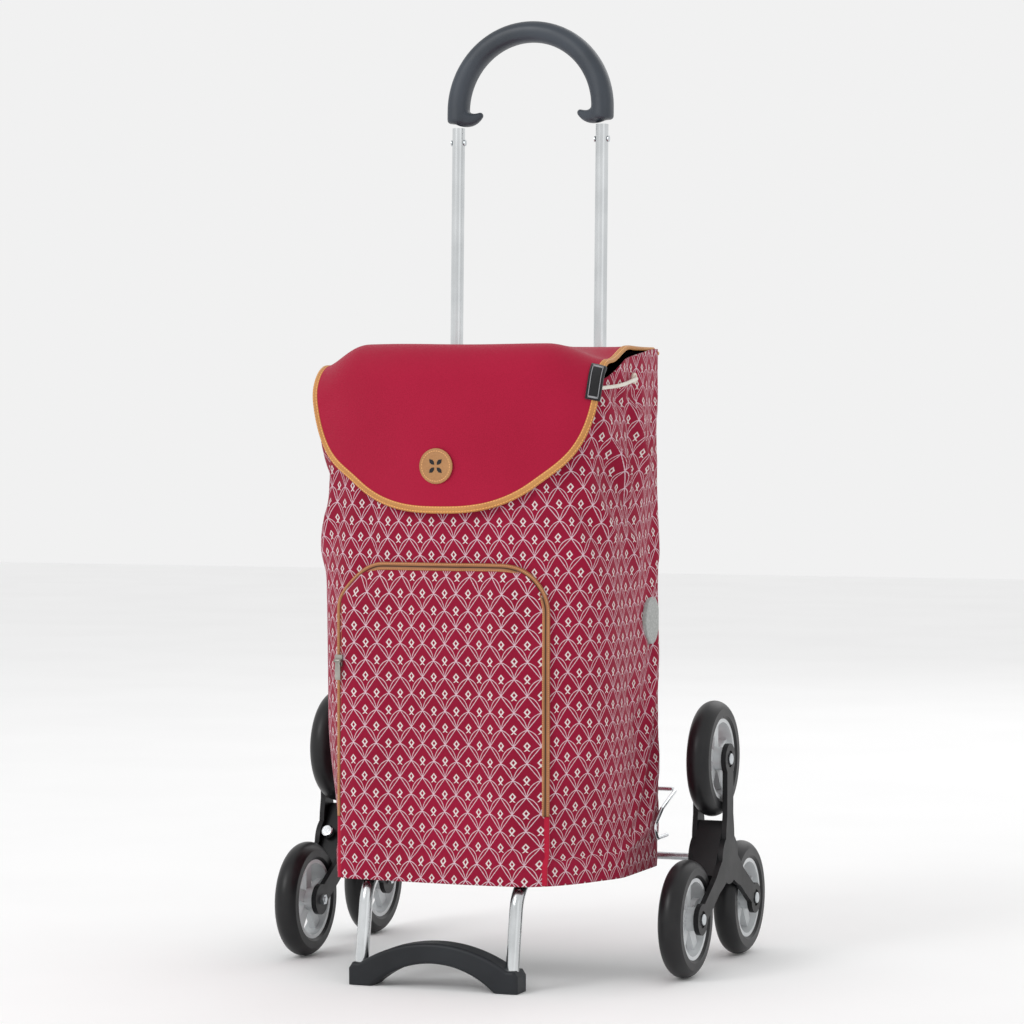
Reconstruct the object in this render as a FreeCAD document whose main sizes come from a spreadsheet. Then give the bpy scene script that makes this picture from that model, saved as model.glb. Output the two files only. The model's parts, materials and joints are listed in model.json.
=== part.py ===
"""Two-wheel-cluster shopping trolley: folding tube frame, stair-climbing wheels and a soft lidded bag.

Frame of the model: millimetres, +Z up, the front of the bag faces -Y, +X is the trolley's left-to-right
axis. The origin is on the ground at the middle of the trolley's footprint. Most pieces are drawn in a frame
of their own (mast, cluster, wheel, bag) whose Placement is tied to the sheet of dimensions.
"""
import FreeCAD, Part
import math
import os
import Sketcher

from FreeCAD import Placement, Rotation, Vector

document = FreeCAD.newDocument("ShoppingTrolley")
sheet = document.addObject("Spreadsheet::Sheet", "Dims")

# ---------------------------------------------------------------- driving dimensions, in millimetres
DIMENSIONS = {
    # wheels and the three-armed clusters that carry them
    "tyre_diameter": 124, "tyre_width": 25, "tyre_inner_radius": 43, "tyre_shoulder": 8,
    "rim_width": 20, "rim_ring": 4, "rim_web": 7, "spoke_width": 13, "spoke_count": 5,
    "wheel_hub_radius": 12.5, "side_play": 0.5,
    "arm_length": 107, "cluster_centre": 218.7, "plate_thickness": 5.5, "wheel_gap": 1.3,
    "arm_width": 21, "arm_end_radius": 16.5, "plate_waist": 27, "core_toward_wheel": 41, "core_between": 27,
    "core_at_notch": 17, "rim_recess_depth": 1.5, "bolt_recess_radius": 9,
    "bolt_radius": 3, "bolt_head_radius": 6, "bolt_head_height": 3.5, "nut_across_flats": 10, "nut_height": 4,
    # axle, its bushes and the release latch
    "axle_radius": 4, "running_gap": 0.05, "bush_wall": 2.5, "bush_flange": 1.2,
    "axle_groove_depth": 1, "latch_offset": 6, "latch_thickness": 2, "latch_width": 14, "latch_gap": 0.3,
    "button_radius": 7, "button_height": 6, "button_stem_radius": 3.5, "button_travel": 4,
    "latch_reach": 10, "release_spring_radius": 2.6, "release_spring_wire": 0.35, "release_spring_turns": 6,
    "release_spring_length": 9,
    # mast: two leaning uprights, their knuckles and the arch grip
    "track_between_uprights": 168, "upright_lean": 1.5, "tube_radius": 7, "tube_wall": 1.2, "socket_gap": 0.05,
    "upright_start": 8, "upright_end": 791, "knuckle_width": 26, "knuckle_top": 32, "knuckle_depth": 19,
    "pivot_forward": 24, "pivot_below_axle": 5, "pivot_lug_radius": 7.4, "pivot_pin_radius": 3,
    "pivot_slot": 15, "pivot_slot_back": 10.5, "pin_head_radius": 5, "pin_head_height": 2,
    "grip_outer_radius": 96, "grip_section": 26, "grip_depth": 24, "grip_leg": 24, "grip_round": 9,
    "grip_hook_reach": 39.5, "grip_hook_rise": 15, "grip_socket_depth": 5,
    "spigot_length": 26, "spigot_gap": 0.1, "rivet_radius": 2, "rivet_below_grip": 11,
    "rivet_head_radius": 3.4, "rivet_head_height": 1.2,
    # wire hook for hanging the trolley on a shop cart
    "hook_wire_radius": 2.3, "hook_height": 70.6, "hook_behind": 18.2, "hook_half_width": 170,
    "clip_wall": 2.6, "clip_height": 14,
    # folding platform
    "leg_forward": 232, "leg_lean": 10, "leg_bend_radius": 35, "leg_end": 6.5, "foot_reach": 261,
    "foot_half_width": 94, "foot_depth": 29, "foot_block": 27, "foot_end_height": 23,
    "foot_arch_under": 26, "foot_arch_top": 47, "foot_socket": 16, "foot_round": 3.5,
    "brace_radius": 2.5, "brace_count": 3, "weld_depth": 0.6,
    # bag
    "bag_half_width": 163, "bag_front": 228, "bag_back": 12, "bag_top": 648, "bag_bottom": 119.2,
    "bag_wall": 4, "bag_front_corner": 75, "bag_back_corner": 12,
    "pocket_half_width": 115, "pocket_top": 438, "pocket_corner": 50, "pocket_bulge": 12,
    "zip_band": 7, "zip_thickness": 1.5, "slider_height": 335, "slider_width": 8, "slider_length": 12,
    "slider_thickness": 3, "slider_gap": 0.3, "pull_length": 20, "pull_width": 6, "pull_thickness": 1.2,
    "pull_eye": 1.7, "pull_side_gap": 0.25, "pull_shoulder": 4.2, "pin_stand_off": 2.2, "pin_radius": 0.8,
    "pin_clearance": 0.15, "ear_gap": 2.7, "ear_thickness": 1.1, "ear_reach": 1.7,
    "eyelet_radius": 4.8, "eyelet_hole": 3, "eyelet_thickness": 1.5, "eyelet_forward": 97,
    "eyelet_height": 629, "cord_radius": 2,
    "reflector_radius": 25.5, "reflector_thickness": 1.4, "reflector_forward": 42, "reflector_height": 372,
    "strap_height": 25, "strap_thickness": 1.5, "strap_low": 250, "strap_high": 560, "strap_gap": 1.2,
    # lid flap
    "lid_gap": 6, "lid_thickness": 3, "lid_rise": 14, "lid_round": 26, "lid_hinge_clearance": 0.6,
    "lid_bottom": 490, "lid_side": 600,
    "lid_binding": 6.5, "lid_binding_proud": 0.6, "lid_hinge_forward": 24.5, "lid_rear_skirt": 9,
    "badge_radius": 18.5, "badge_thickness": 2, "badge_height": 538, "badge_off_centre": 3,
    "label_width": 35, "label_height": 16, "label_thickness": 1.2, "label_forward": 190, "label_level": 624,
}
for row, (alias, size) in enumerate(DIMENSIONS.items(), start=1):
    sheet.set(f"A{row}", alias)
    sheet.set(f"B{row}", str(size))
    sheet.setAlias(f"B{row}", alias)
document.recompute()

# ---------------------------------------------------------------- expressions worked out from the sheet
AXLE_HEIGHT = "(Dims.tyre_diameter / 2 + Dims.arm_length / 2)"
REAR_REACH = "(Dims.arm_length * cos(30 deg) + Dims.tyre_diameter / 2)"
AXLE_Y = f"((Dims.foot_reach - {REAR_REACH}) / 2)"
HALF_TRACK = "(Dims.track_between_uprights / 2)"
HALF_GAP = "(Dims.tyre_width / 2 + Dims.wheel_gap)"
HALF_CLUSTER = f"({HALF_GAP} + Dims.plate_thickness)"
AXLE_BORE = "(Dims.axle_radius + Dims.running_gap)"
LEAN_SIN, LEAN_COS = "sin(Dims.upright_lean * 1 deg)", "cos(Dims.upright_lean * 1 deg)"
PIVOT_FORWARD = f"(Dims.pivot_forward * {LEAN_COS} + Dims.pivot_below_axle * {LEAN_SIN})"
PIVOT_HEIGHT = f"({AXLE_HEIGHT} - Dims.pivot_below_axle * {LEAN_COS} + Dims.pivot_forward * {LEAN_SIN})"
GRIP_BASE = "(Dims.upright_end - Dims.grip_socket_depth)"
GRIP_INNER = "(Dims.grip_outer_radius - Dims.grip_section)"
WALL_BOTTOM = "(Dims.bag_bottom + Dims.bag_wall)"
POCKET_FACE = "(Dims.bag_front + Dims.pocket_bulge)"
BAND_FACE = f"({POCKET_FACE} + Dims.zip_thickness)"
LID_TOP = "(Dims.bag_top + Dims.lid_rise)"

subparts = []


def value(expression):
    """The number that an expression over the sheet stands for."""
    found = sheet.evalExpression(str(expression))
    return float(getattr(found, "Value", found))


def keep(piece, label):
    piece.Label = label
    subparts.append(piece)
    return piece


def place(piece, across="0", back="0", up="0", lean="0", turn=None):
    """Ties a piece's Placement to the sheet; back is counted from the axle towards +Y."""
    rotation = turn if turn else Rotation(Vector(1, 0, 0), 0)
    piece.Placement = Placement(Vector(0, 0, 0), rotation)
    piece.setExpression("Placement.Base.x", f"{across}")
    piece.setExpression("Placement.Base.y", f"{AXLE_Y} + {back}")
    piece.setExpression("Placement.Base.z", f"{up}")
    if lean != "0":
        piece.Placement = Placement(Vector(0, 0, 0), Rotation(Vector(1, 0, 0), -value(lean)))
        piece.setExpression("Placement.Rotation.Angle", f"-{lean} * 1 deg")
    return piece


def placement_now(across="0", back="0", up="0", lean="0", turn=None):
    """The same placement as a plain value, for pieces whose Shape is set directly."""
    rotation = turn if turn else Rotation(Vector(1, 0, 0), -value(lean))
    return Placement(Vector(value(across), value(AXLE_Y) + value(back), value(up)), rotation)


# ---------------------------------------------------------------- sketch and feature helpers
def new_body(name):
    return document.addObject("PartDesign::Body", name)


def new_sketch(body, role, offset="0"):
    """A sketch on one of the body's own origin planes, moved along the plane's normal by offset."""
    plane = next(item for item in body.Origin.OriginFeatures if item.Role == role)
    flat = body.newObject("Sketcher::SketchObject", f"{body.Name}_sketch")
    flat.AttachmentSupport = (plane, [""])
    flat.MapMode = "FlatFace"
    if offset != "0":
        flat.setExpression("AttachmentOffset.Base.z", offset)
    return flat


def bind(flat, kind, references, expression):
    index = flat.addConstraint(Sketcher.Constraint(kind, *references, value(expression)))
    flat.setExpression(f"Constraints[{index}]", expression)


def bind_point(flat, geometry, point, across, up):
    bind(flat, "DistanceX", (-1, 1, geometry, point), across)
    bind(flat, "DistanceY", (-1, 1, geometry, point), up)


def circle(flat, radius, across="0", up="0"):
    centre = Vector(value(across), value(up), 0)
    index = flat.addGeometry(Part.Circle(centre, Vector(0, 0, 1), value(radius)))
    bind(flat, "Radius", (index,), radius)
    bind_point(flat, index, 3, across, up)


def bowed_middle(start, end, radius, side):
    """The middle of an arc from start to end that bows to the left (side 1) or to the right (-1)."""
    chord = end - start
    half = chord.Length / 2
    sagitta = radius - math.sqrt(max(radius * radius - half * half, 0))
    normal = Vector(-chord.y, chord.x, 0).normalize()
    return (start + end) * 0.5 + normal * (sagitta * side)


def outline(flat, corners):
    """A closed outline. A corner is (across, up), or (across, up, radius, side) where an arc leaves it."""
    points = [Vector(value(corner[0]), value(corner[1]), 0) for corner in corners]
    ends = []
    for number, corner in enumerate(corners):
        start, end = points[number], points[(number + 1) % len(points)]
        if len(corner) == 2:
            index = flat.addGeometry(Part.LineSegment(start, end))
            ends.append((index, 1, 2))
            continue
        middle = bowed_middle(start, end, value(corner[2]), corner[3])
        index = flat.addGeometry(Part.Arc(start, middle, end))
        forwards = flat.getPoint(index, 1).distanceToPoint(start) < 1e-4
        ends.append((index, 1, 2) if forwards else (index, 2, 1))
    for number, (index, first, last) in enumerate(ends):
        corner, following = corners[number], corners[(number + 1) % len(corners)]
        next_index, next_first, _ = ends[(number + 1) % len(ends)]
        flat.addConstraint(Sketcher.Constraint("Coincident", index, last, next_index, next_first))
        bind_point(flat, index, first, corner[0], corner[1])
        if len(corner) == 2:
            continue
        chord = points[(number + 1) % len(points)] - points[number]
        if chord.Length < 1.999 * value(corner[2]):
            bind(flat, "Radius", (index,), corner[2])
        elif abs(chord.x) > abs(chord.y):
            bind(flat, "DistanceY", (-1, 1, index, 3), f"({corner[1]} + ({following[1]})) / 2")
        else:
            bind(flat, "DistanceX", (-1, 1, index, 3), f"({corner[0]} + ({following[0]})) / 2")


def rectangle(flat, low_across, high_across, low_up, high_up):
    outline(flat, [
        (low_across, low_up), (high_across, low_up), (high_across, high_up), (low_across, high_up),
    ])


def rounded_rectangle(flat, low, high, half, radius):
    """A rectangle from low to high across and half each way up, with its corners rounded."""
    outline(flat, [
        (f"{low} + {radius}", f"-({half})"), (f"{high} - {radius}", f"-({half})", radius, -1),
        (high, f"-({half}) + {radius}"), (high, f"{half} - {radius}", radius, -1),
        (f"{high} - {radius}", half), (f"{low} + {radius}", half, radius, -1),
        (low, f"{half} - {radius}"), (low, f"-({half}) + {radius}", radius, -1),
    ])


def pad(body, flat, length, symmetric=False, backwards=False):
    feature = body.newObject("PartDesign::Pad", f"{body.Name}_pad")
    feature.Profile = flat
    feature.setExpression("Length", length)
    feature.SideType = "Symmetric" if symmetric else "One side"
    feature.Reversed = backwards
    document.recompute()
    return feature


def pocket(body, flat, length=None, backwards=False):
    """A pocket of one length, or right through both ways when it has none; it must take material away."""
    document.recompute()
    before = body.Shape.Volume
    feature = body.newObject("PartDesign::Pocket", f"{body.Name}_pocket")
    feature.Profile = flat
    if length is None:
        feature.Type = "ThroughAll"
        feature.SideType = "Symmetric"
    else:
        feature.setExpression("Length", length)
        feature.Reversed = backwards
    document.recompute()
    if body.Shape.Volume > before - 1e-6:
        raise RuntimeError(f"a pocket of {body.Name} removes nothing")
    return feature


def turned(body, flat, axis="H_Axis"):
    """A full revolution about the sketch's own horizontal or vertical axis."""
    feature = body.newObject("PartDesign::Revolution", f"{body.Name}_turned")
    feature.Profile = flat
    feature.ReferenceAxis = (flat, [axis])
    feature.Angle = 360
    document.recompute()
    return feature


def around(body, originals, flat, count):
    """Repeats features round the sketch's normal axis."""
    pattern = body.newObject("PartDesign::PolarPattern", f"{body.Name}_pattern")
    pattern.Originals = originals
    pattern.Axis = (flat, ["N_Axis"])
    pattern.Angle = 360
    pattern.setExpression("Occurrences", count)
    body.Tip = pattern
    document.recompute()
    return pattern


def rounded(body, radius, choose):
    """Fillets every edge of the body's last feature that choose() accepts."""
    feature = body.Tip
    names = [f"Edge{i}" for i, edge in enumerate(feature.Shape.Edges, start=1) if choose(edge)]
    fillet = body.newObject("PartDesign::Fillet", f"{body.Name}_fillet")
    fillet.Base = (feature, names)
    fillet.setExpression("Radius", radius)
    document.recompute()
    return fillet


def runs_along(edge, axis):
    """True for a straight edge parallel to an axis."""
    if edge.Curve.TypeId != "Part::GeomLine":
        return False
    return abs(abs(edge.tangentAt(edge.FirstParameter).dot(axis)) - 1) < 1e-6


def direct(label, shape, **where):
    """A sub-part whose Shape is made with Part's own functions; its Placement comes after its Shape."""
    piece = document.addObject("Part::Feature", label)
    piece.Shape = shape
    piece.Placement = placement_now(**where) if where else placement_now()
    return keep(piece, label)


def rounded_route(points, radius):
    """Straight runs joined by tangent arcs of one radius at the corners."""
    edges = []
    start = points[0]
    for before, corner, after in zip(points, points[1:], points[2:]):
        inward = (before - corner).normalize()
        outward = (after - corner).normalize()
        half_turn = inward.getAngle(outward) / 2
        setback = radius / math.tan(half_turn)
        centre = corner + (inward + outward).normalize() * (radius / math.sin(half_turn))
        middle = centre + (corner - centre).normalize() * radius
        first, last = corner + inward * setback, corner + outward * setback
        edges.append(Part.LineSegment(start, first).toShape())
        edges.append(Part.Arc(first, middle, last).toShape())
        start = last
    edges.append(Part.LineSegment(start, points[-1]).toShape())
    return Part.Wire(edges)


def largest_arcs(points):
    """A cord's route: each corner's arc takes 0.45 of the shorter run beside it; prints the radii."""
    edges, radii = [], []
    start = points[0]
    for before, corner, after in zip(points, points[1:], points[2:]):
        inward, outward = before - corner, after - corner
        setback = 0.45 * min(inward.Length, outward.Length)
        first = corner + inward.normalize() * setback
        last = corner + outward.normalize() * setback
        half_turn = inward.getAngle(outward) / 2
        radius = setback * math.tan(half_turn)
        centre = corner + (inward + outward).normalize() * (radius / math.sin(half_turn))
        edges.append(Part.LineSegment(start, first).toShape())
        edges.append(Part.Arc(first, centre + (corner - centre).normalize() * radius, last).toShape())
        radii.append(round(radius, 1))
        start = last
    edges.append(Part.LineSegment(start, points[-1]).toShape())
    print("cord radii", radii)
    return Part.Wire(edges)


def rod(route, radius):
    """A round rod along a route."""
    first = route.Edges[0]
    start = first.valueAt(first.FirstParameter)
    along = first.tangentAt(first.FirstParameter)
    section = Part.Wire(Part.Circle(start, along, radius).toShape())
    solid = route.makePipeShell([section], True, True)
    if abs(solid.Volume / (math.pi * radius * radius * route.Length) - 1) > 0.01:
        raise RuntimeError("a rod does not have its section times its length")
    return solid


def tube(route, outer, wall):
    return rod(route, outer).cut(rod(route, outer - wall))


# ---------------------------------------------------------------- mast
def make_upright(label, side):
    """A leaning tube from its knuckle to the grip, cross-drilled for the grip's rivet."""
    body = new_body(label)
    ring = new_sketch(body, "XY_Plane", "Dims.upright_start")
    circle(ring, "Dims.tube_radius")
    circle(ring, "Dims.tube_radius - Dims.tube_wall")
    pad(body, ring, "Dims.upright_end - Dims.upright_start")
    drill = new_sketch(body, "YZ_Plane")
    circle(drill, "Dims.rivet_radius", "0", f"{GRIP_BASE} - Dims.rivet_below_grip")
    pocket(body, drill)
    place(body, f"{side} * {HALF_TRACK}", "0", AXLE_HEIGHT, "Dims.upright_lean")
    return keep(body, label)


def make_knuckle(label, side):
    """The moulded joint of axle, upright and platform leg: a block with a forked lug in front."""
    body = new_body(label)
    profile = new_sketch(body, "YZ_Plane")
    half_depth = "Dims.knuckle_depth / 2"
    lug_top = "Dims.pivot_lug_radius - Dims.pivot_below_axle"
    lug_bottom = "-Dims.pivot_lug_radius - Dims.pivot_below_axle"
    outline(profile, [
        (f"-{half_depth}", "Dims.knuckle_top"),
        (f"-{half_depth}", lug_top),
        ("-Dims.pivot_forward", lug_top, "Dims.pivot_lug_radius", -1),
        ("-Dims.pivot_forward", lug_bottom),
        (half_depth, lug_bottom),
        (half_depth, "Dims.knuckle_top"),
    ])
    circle(profile, AXLE_BORE)
    circle(profile, "Dims.pivot_pin_radius + Dims.running_gap",
           "-Dims.pivot_forward", "-Dims.pivot_below_axle")
    pad(body, profile, "Dims.knuckle_width", symmetric=True)
    socket = new_sketch(body, "XY_Plane", "Dims.upright_start")
    circle(socket, "Dims.tube_radius + Dims.socket_gap")
    pocket(body, socket, "Dims.knuckle_top", backwards=True)
    slot = new_sketch(body, "XY_Plane", "Dims.knuckle_top")
    slot_back = "-Dims.pivot_forward + Dims.pivot_slot_back"
    rectangle(slot, "-Dims.pivot_slot / 2", "Dims.pivot_slot / 2", "-2 * Dims.pivot_forward", slot_back)
    pocket(body, slot)
    rounded(body, "1.5", lambda edge: runs_along(edge, Vector(0, 0, 1)) and edge.BoundBox.ZMin > 0
            and abs(edge.BoundBox.XMax) > 10)
    place(body, f"{side} * {HALF_TRACK}", "0", AXLE_HEIGHT, "Dims.upright_lean")
    return keep(body, label)


def make_pivot_pins():
    """Headed pins through the two forked lugs; the folding legs turn on them."""
    pins = []
    width, radius = value("Dims.knuckle_width"), value("Dims.pivot_pin_radius")
    head, height = value("Dims.pin_head_radius"), value("Dims.pin_head_height")
    for side in (-1, 1):
        centre = Vector(side * value(HALF_TRACK), -value("Dims.pivot_forward"),
                        -value("Dims.pivot_below_axle"))
        outward = Vector(side, 0, 0)
        shank = Part.makeCylinder(radius, width + 1, centre - outward * (width / 2 + 1), outward)
        cap = Part.makeCylinder(head, height, centre + outward * (width / 2), outward)
        pins.append(shank.fuse(cap).removeSplitter())
    direct("fold_pins", Part.makeCompound(pins), up=AXLE_HEIGHT, lean="Dims.upright_lean")


def make_grip():
    """The moulded arch: round-edged, with hooked horns, and spigots that go down into the uprights."""
    body = new_body("grip")
    crown = f"({GRIP_BASE} + Dims.grip_leg)"
    arch = new_sketch(body, "XY_Plane", crown)
    rounded_rectangle(arch, GRIP_INNER, "Dims.grip_outer_radius", "Dims.grip_depth / 2", "Dims.grip_round")
    arch_turn = turned(body, arch, "V_Axis")
    arch_turn.Angle = 180
    arch_turn.Reversed = True
    for side in (-1, 1):
        leg = new_sketch(body, "XY_Plane", crown)
        edges = (GRIP_INNER, "Dims.grip_outer_radius")
        if side < 0:
            edges = ("-Dims.grip_outer_radius", f"-{GRIP_INNER}")
        rounded_rectangle(leg, edges[0], edges[1], "Dims.grip_depth / 2", "Dims.grip_round")
        pad(body, leg, "Dims.grip_leg", backwards=True)
        horn = new_sketch(body, "XZ_Plane")
        reach = f"{side} * (Dims.grip_outer_radius - Dims.grip_hook_reach)"
        root = f"{side} * (Dims.grip_outer_radius - 14)"
        rise = f"{GRIP_BASE} + Dims.grip_hook_rise"
        outline(horn, [
            (root, GRIP_BASE), (f"{side} * (Dims.grip_outer_radius - 20)", GRIP_BASE, "30", side),
            (reach, rise), (f"{reach} + {side} * 2", f"{rise} + 4", "16", -side),
            (root, crown),
        ])
        pad(body, horn, "Dims.grip_depth - 4", symmetric=True)
    for side in (-1, 1):
        across = f"{side} * {HALF_TRACK}"
        socket = new_sketch(body, "XY_Plane", GRIP_BASE)
        circle(socket, "Dims.tube_radius + Dims.socket_gap", across)
        pocket(body, socket, "Dims.grip_socket_depth", backwards=True)
        spigot = new_sketch(body, "XY_Plane", f"{GRIP_BASE} + Dims.grip_socket_depth")
        circle(spigot, "Dims.tube_radius - Dims.tube_wall - Dims.spigot_gap", across)
        pad(body, spigot, "Dims.spigot_length", backwards=True)
    drill = new_sketch(body, "YZ_Plane")
    circle(drill, "Dims.rivet_radius", "0", f"{GRIP_BASE} - Dims.rivet_below_grip")
    pocket(body, drill)
    place(body, "0", "0", AXLE_HEIGHT, "Dims.upright_lean")
    return keep(body, "grip")


def make_grip_rivets():
    """One cross rivet through each upright and the spigot inside it."""
    rivets = []
    level = value(f"{GRIP_BASE} - Dims.rivet_below_grip")
    half = value("Dims.tube_radius")
    head, height = value("Dims.rivet_head_radius"), value("Dims.rivet_head_height")
    for side in (-1, 1):
        centre = Vector(side * value(HALF_TRACK), 0, level)
        shank = Part.makeCylinder(value("Dims.rivet_radius"), 2 * half,
                                  centre - Vector(half, 0, 0), Vector(1, 0, 0))
        solid = shank
        for end in (-1, 1):
            cap = Part.makeCylinder(head, height, centre + Vector(end * half, 0, 0), Vector(end, 0, 0))
            solid = solid.fuse(cap)
        rivets.append(solid.removeSplitter())
    direct("grip_rivets", Part.makeCompound(rivets), up=AXLE_HEIGHT, lean="Dims.upright_lean")


def make_hook_clip(label, side):
    """A ring round the upright with an ear behind it that holds the hook's cross rod."""
    body = new_body(label)
    ring = "(Dims.tube_radius + Dims.clip_wall)"
    ear = "(Dims.hook_wire_radius + Dims.clip_wall)"
    plan = new_sketch(body, "XY_Plane", "Dims.hook_height - Dims.clip_height / 2")
    rear = f"(Dims.hook_behind + {ear})"
    outline(plan, [
        (f"-{ring}", "0", ring, -1),
        (ring, "0"),
        (ring, rear),
        (f"-{ring}", rear),
    ])
    circle(plan, "Dims.tube_radius + Dims.socket_gap")
    pad(body, plan, "Dims.clip_height")
    bore = new_sketch(body, "YZ_Plane")
    circle(bore, "Dims.hook_wire_radius + Dims.socket_gap", "Dims.hook_behind", "Dims.hook_height")
    pocket(body, bore)
    place(body, f"{side} * {HALF_TRACK}", "0", AXLE_HEIGHT, "Dims.upright_lean")
    return keep(body, label)


def make_cart_hook():
    """One bent wire: a cross rod behind the uprights and a J-shaped hook outside each side of the bag."""
    half = value("Dims.hook_half_width")
    behind, height = value("Dims.hook_behind"), value("Dims.hook_height")
    profile = [
        (behind, height), (-29, height - 18), (-54, height - 35), (-44, height - 48), (-12, height - 47),
    ]
    right = [Vector(half, back, up) for back, up in profile]
    left = [Vector(-half, back, up) for back, up in reversed(profile)]
    route = rounded_route(left + right, 6.5)
    direct("cart_hook", rod(route, value("Dims.hook_wire_radius")), up=AXLE_HEIGHT, lean="Dims.upright_lean")


def make_axle():
    """The cross shaft, with a groove near each end for the release latch."""
    body = new_body("axle")
    half = new_sketch(body, "XY_Plane")
    end = f"(Dims.cluster_centre + {HALF_GAP} - 2)"
    groove = "(Dims.cluster_centre + Dims.latch_offset)"
    reach = "(Dims.latch_thickness / 2 + Dims.latch_gap)"
    radius, root = "Dims.axle_radius", "(Dims.axle_radius - Dims.axle_groove_depth)"
    outline(half, [
        (f"-{end}", "0"), (f"-{end}", radius),
        (f"-{groove} - {reach}", radius), (f"-{groove} - {reach}", root),
        (f"-{groove} + {reach}", root), (f"-{groove} + {reach}", radius),
        (f"{groove} - {reach}", radius), (f"{groove} - {reach}", root),
        (f"{groove} + {reach}", root), (f"{groove} + {reach}", radius),
        (end, radius), (end, "0"),
    ])
    turned(body, half)
    place(body, up=AXLE_HEIGHT)
    return keep(body, "axle")


# ---------------------------------------------------------------- folding platform
def leg_route():
    """The centre line of a platform leg, in the plane of the leg: back end, bend, foot end."""
    height = value(PIVOT_HEIGHT)
    corner = Vector(0, -value("Dims.leg_forward"), height)
    lean = math.radians(value("Dims.leg_lean"))
    drop = height - value("Dims.foot_end_height") + value("Dims.foot_socket")
    foot_end = corner + Vector(0, -math.tan(lean) * drop, -drop)
    back_end = Vector(0, value("Dims.leg_end") - value(PIVOT_FORWARD), height)
    return rounded_route([back_end, corner, foot_end], value("Dims.leg_bend_radius"))


def make_leg(label, side):
    """A bent tube that turns on its pin at the back and stands in the foot at the front."""
    shape = tube(leg_route(), value("Dims.tube_radius"), value("Dims.tube_wall"))
    radius = value("Dims.tube_radius")
    pin_at = Vector(-2 * radius, -value(PIVOT_FORWARD), value(PIVOT_HEIGHT))
    bore = value("Dims.pivot_pin_radius + Dims.running_gap")
    shape = shape.cut(Part.makeCylinder(bore, 4 * radius, pin_at, Vector(1, 0, 0)))
    direct(label, shape, across=f"{side} * {HALF_TRACK}")


def make_braces():
    """Straight wires welded between the legs; the bag's base rests over them."""
    count = int(value("Dims.brace_count"))
    half = value(f"{HALF_TRACK} - Dims.tube_radius + Dims.weld_depth")
    first, last = 60, value("Dims.leg_forward") - value("Dims.leg_bend_radius") - 10
    wires = []
    for number in range(count):
        forward = first + (last - first) * number / (count - 1)
        start = Vector(-half, -forward, value(PIVOT_HEIGHT))
        wires.append(Part.makeCylinder(value("Dims.brace_radius"), 2 * half, start, Vector(1, 0, 0)))
    direct("platform_braces", Part.makeCompound(wires))


def make_foot():
    """The moulded foot: an arched bar with a block at each end, bored for the legs."""
    body = new_body("foot_bar")
    front = new_sketch(body, "XZ_Plane", "Dims.foot_reach - Dims.foot_depth")
    half = "Dims.foot_half_width"
    inner = "(Dims.foot_half_width - Dims.foot_block)"
    under = (f"(({inner} * {inner} + Dims.foot_arch_under * Dims.foot_arch_under)"
             " / (2 * Dims.foot_arch_under))")
    shoulder = "(Dims.foot_half_width - 12)"
    rise = "(Dims.foot_arch_top - Dims.foot_end_height)"
    over = f"(({shoulder} * {shoulder} + {rise} * {rise}) / (2 * {rise}))"
    outline(front, [
        (f"-{half}", "0"), (f"-{inner}", "0", under, 1), (inner, "0"), (half, "0"),
        (half, "Dims.foot_end_height - 6"),
        (f"{half} - 4", "Dims.foot_end_height"),
        (shoulder, "Dims.foot_end_height", over, -1),
        (f"-{shoulder}", "Dims.foot_end_height"),
        (f"-{half} + 4", "Dims.foot_end_height"),
        (f"-{half}", "Dims.foot_end_height - 6"),
    ])
    pad(body, front, "Dims.foot_depth")
    rounded(body, "Dims.foot_round", lambda edge: edge.BoundBox.YLength < 1e-6 and edge.BoundBox.ZMax > 1)
    bores = []
    for side in (-1, 1):
        bore = document.addObject("Part::Cylinder", "foot_bore")
        bore.setExpression("Radius", "Dims.tube_radius + Dims.socket_gap")
        bore.setExpression("Height", "100")
        lean = Rotation(Vector(1, 0, 0), -value("Dims.leg_lean"))
        bore.Placement = Placement(Vector(0, 0, 0), lean)
        drop = f"({PIVOT_HEIGHT} - Dims.foot_end_height + Dims.foot_socket)"
        bore.setExpression("Placement.Base.x", f"{side} * {HALF_TRACK}")
        bore.setExpression("Placement.Base.y", f"-Dims.leg_forward - tan(Dims.leg_lean * 1 deg) * {drop}")
        bore.setExpression("Placement.Base.z", f"{PIVOT_HEIGHT} - {drop}")
        bores.append(bore)
    tools = document.addObject("Part::MultiFuse", "foot_bores")
    tools.Shapes = bores
    foot = document.addObject("Part::Cut", "foot")
    foot.Base = body
    foot.Tool = tools
    place(foot)
    return keep(foot, "foot")


# ---------------------------------------------------------------- wheel clusters
def cluster_turn(side):
    """Both clusters are one design; the left one is turned half round about the vertical."""
    return Rotation(Vector(0, 0, 1), 0 if side > 0 else 180)


def latch_turn(side):
    """The latch slides along the line 30 degrees above the horizontal."""
    return cluster_turn(side).multiply(Rotation(Vector(1, 0, 0), -60))


def arm_directions():
    return [math.radians(angle) for angle in (90, 210, 330)]


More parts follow.
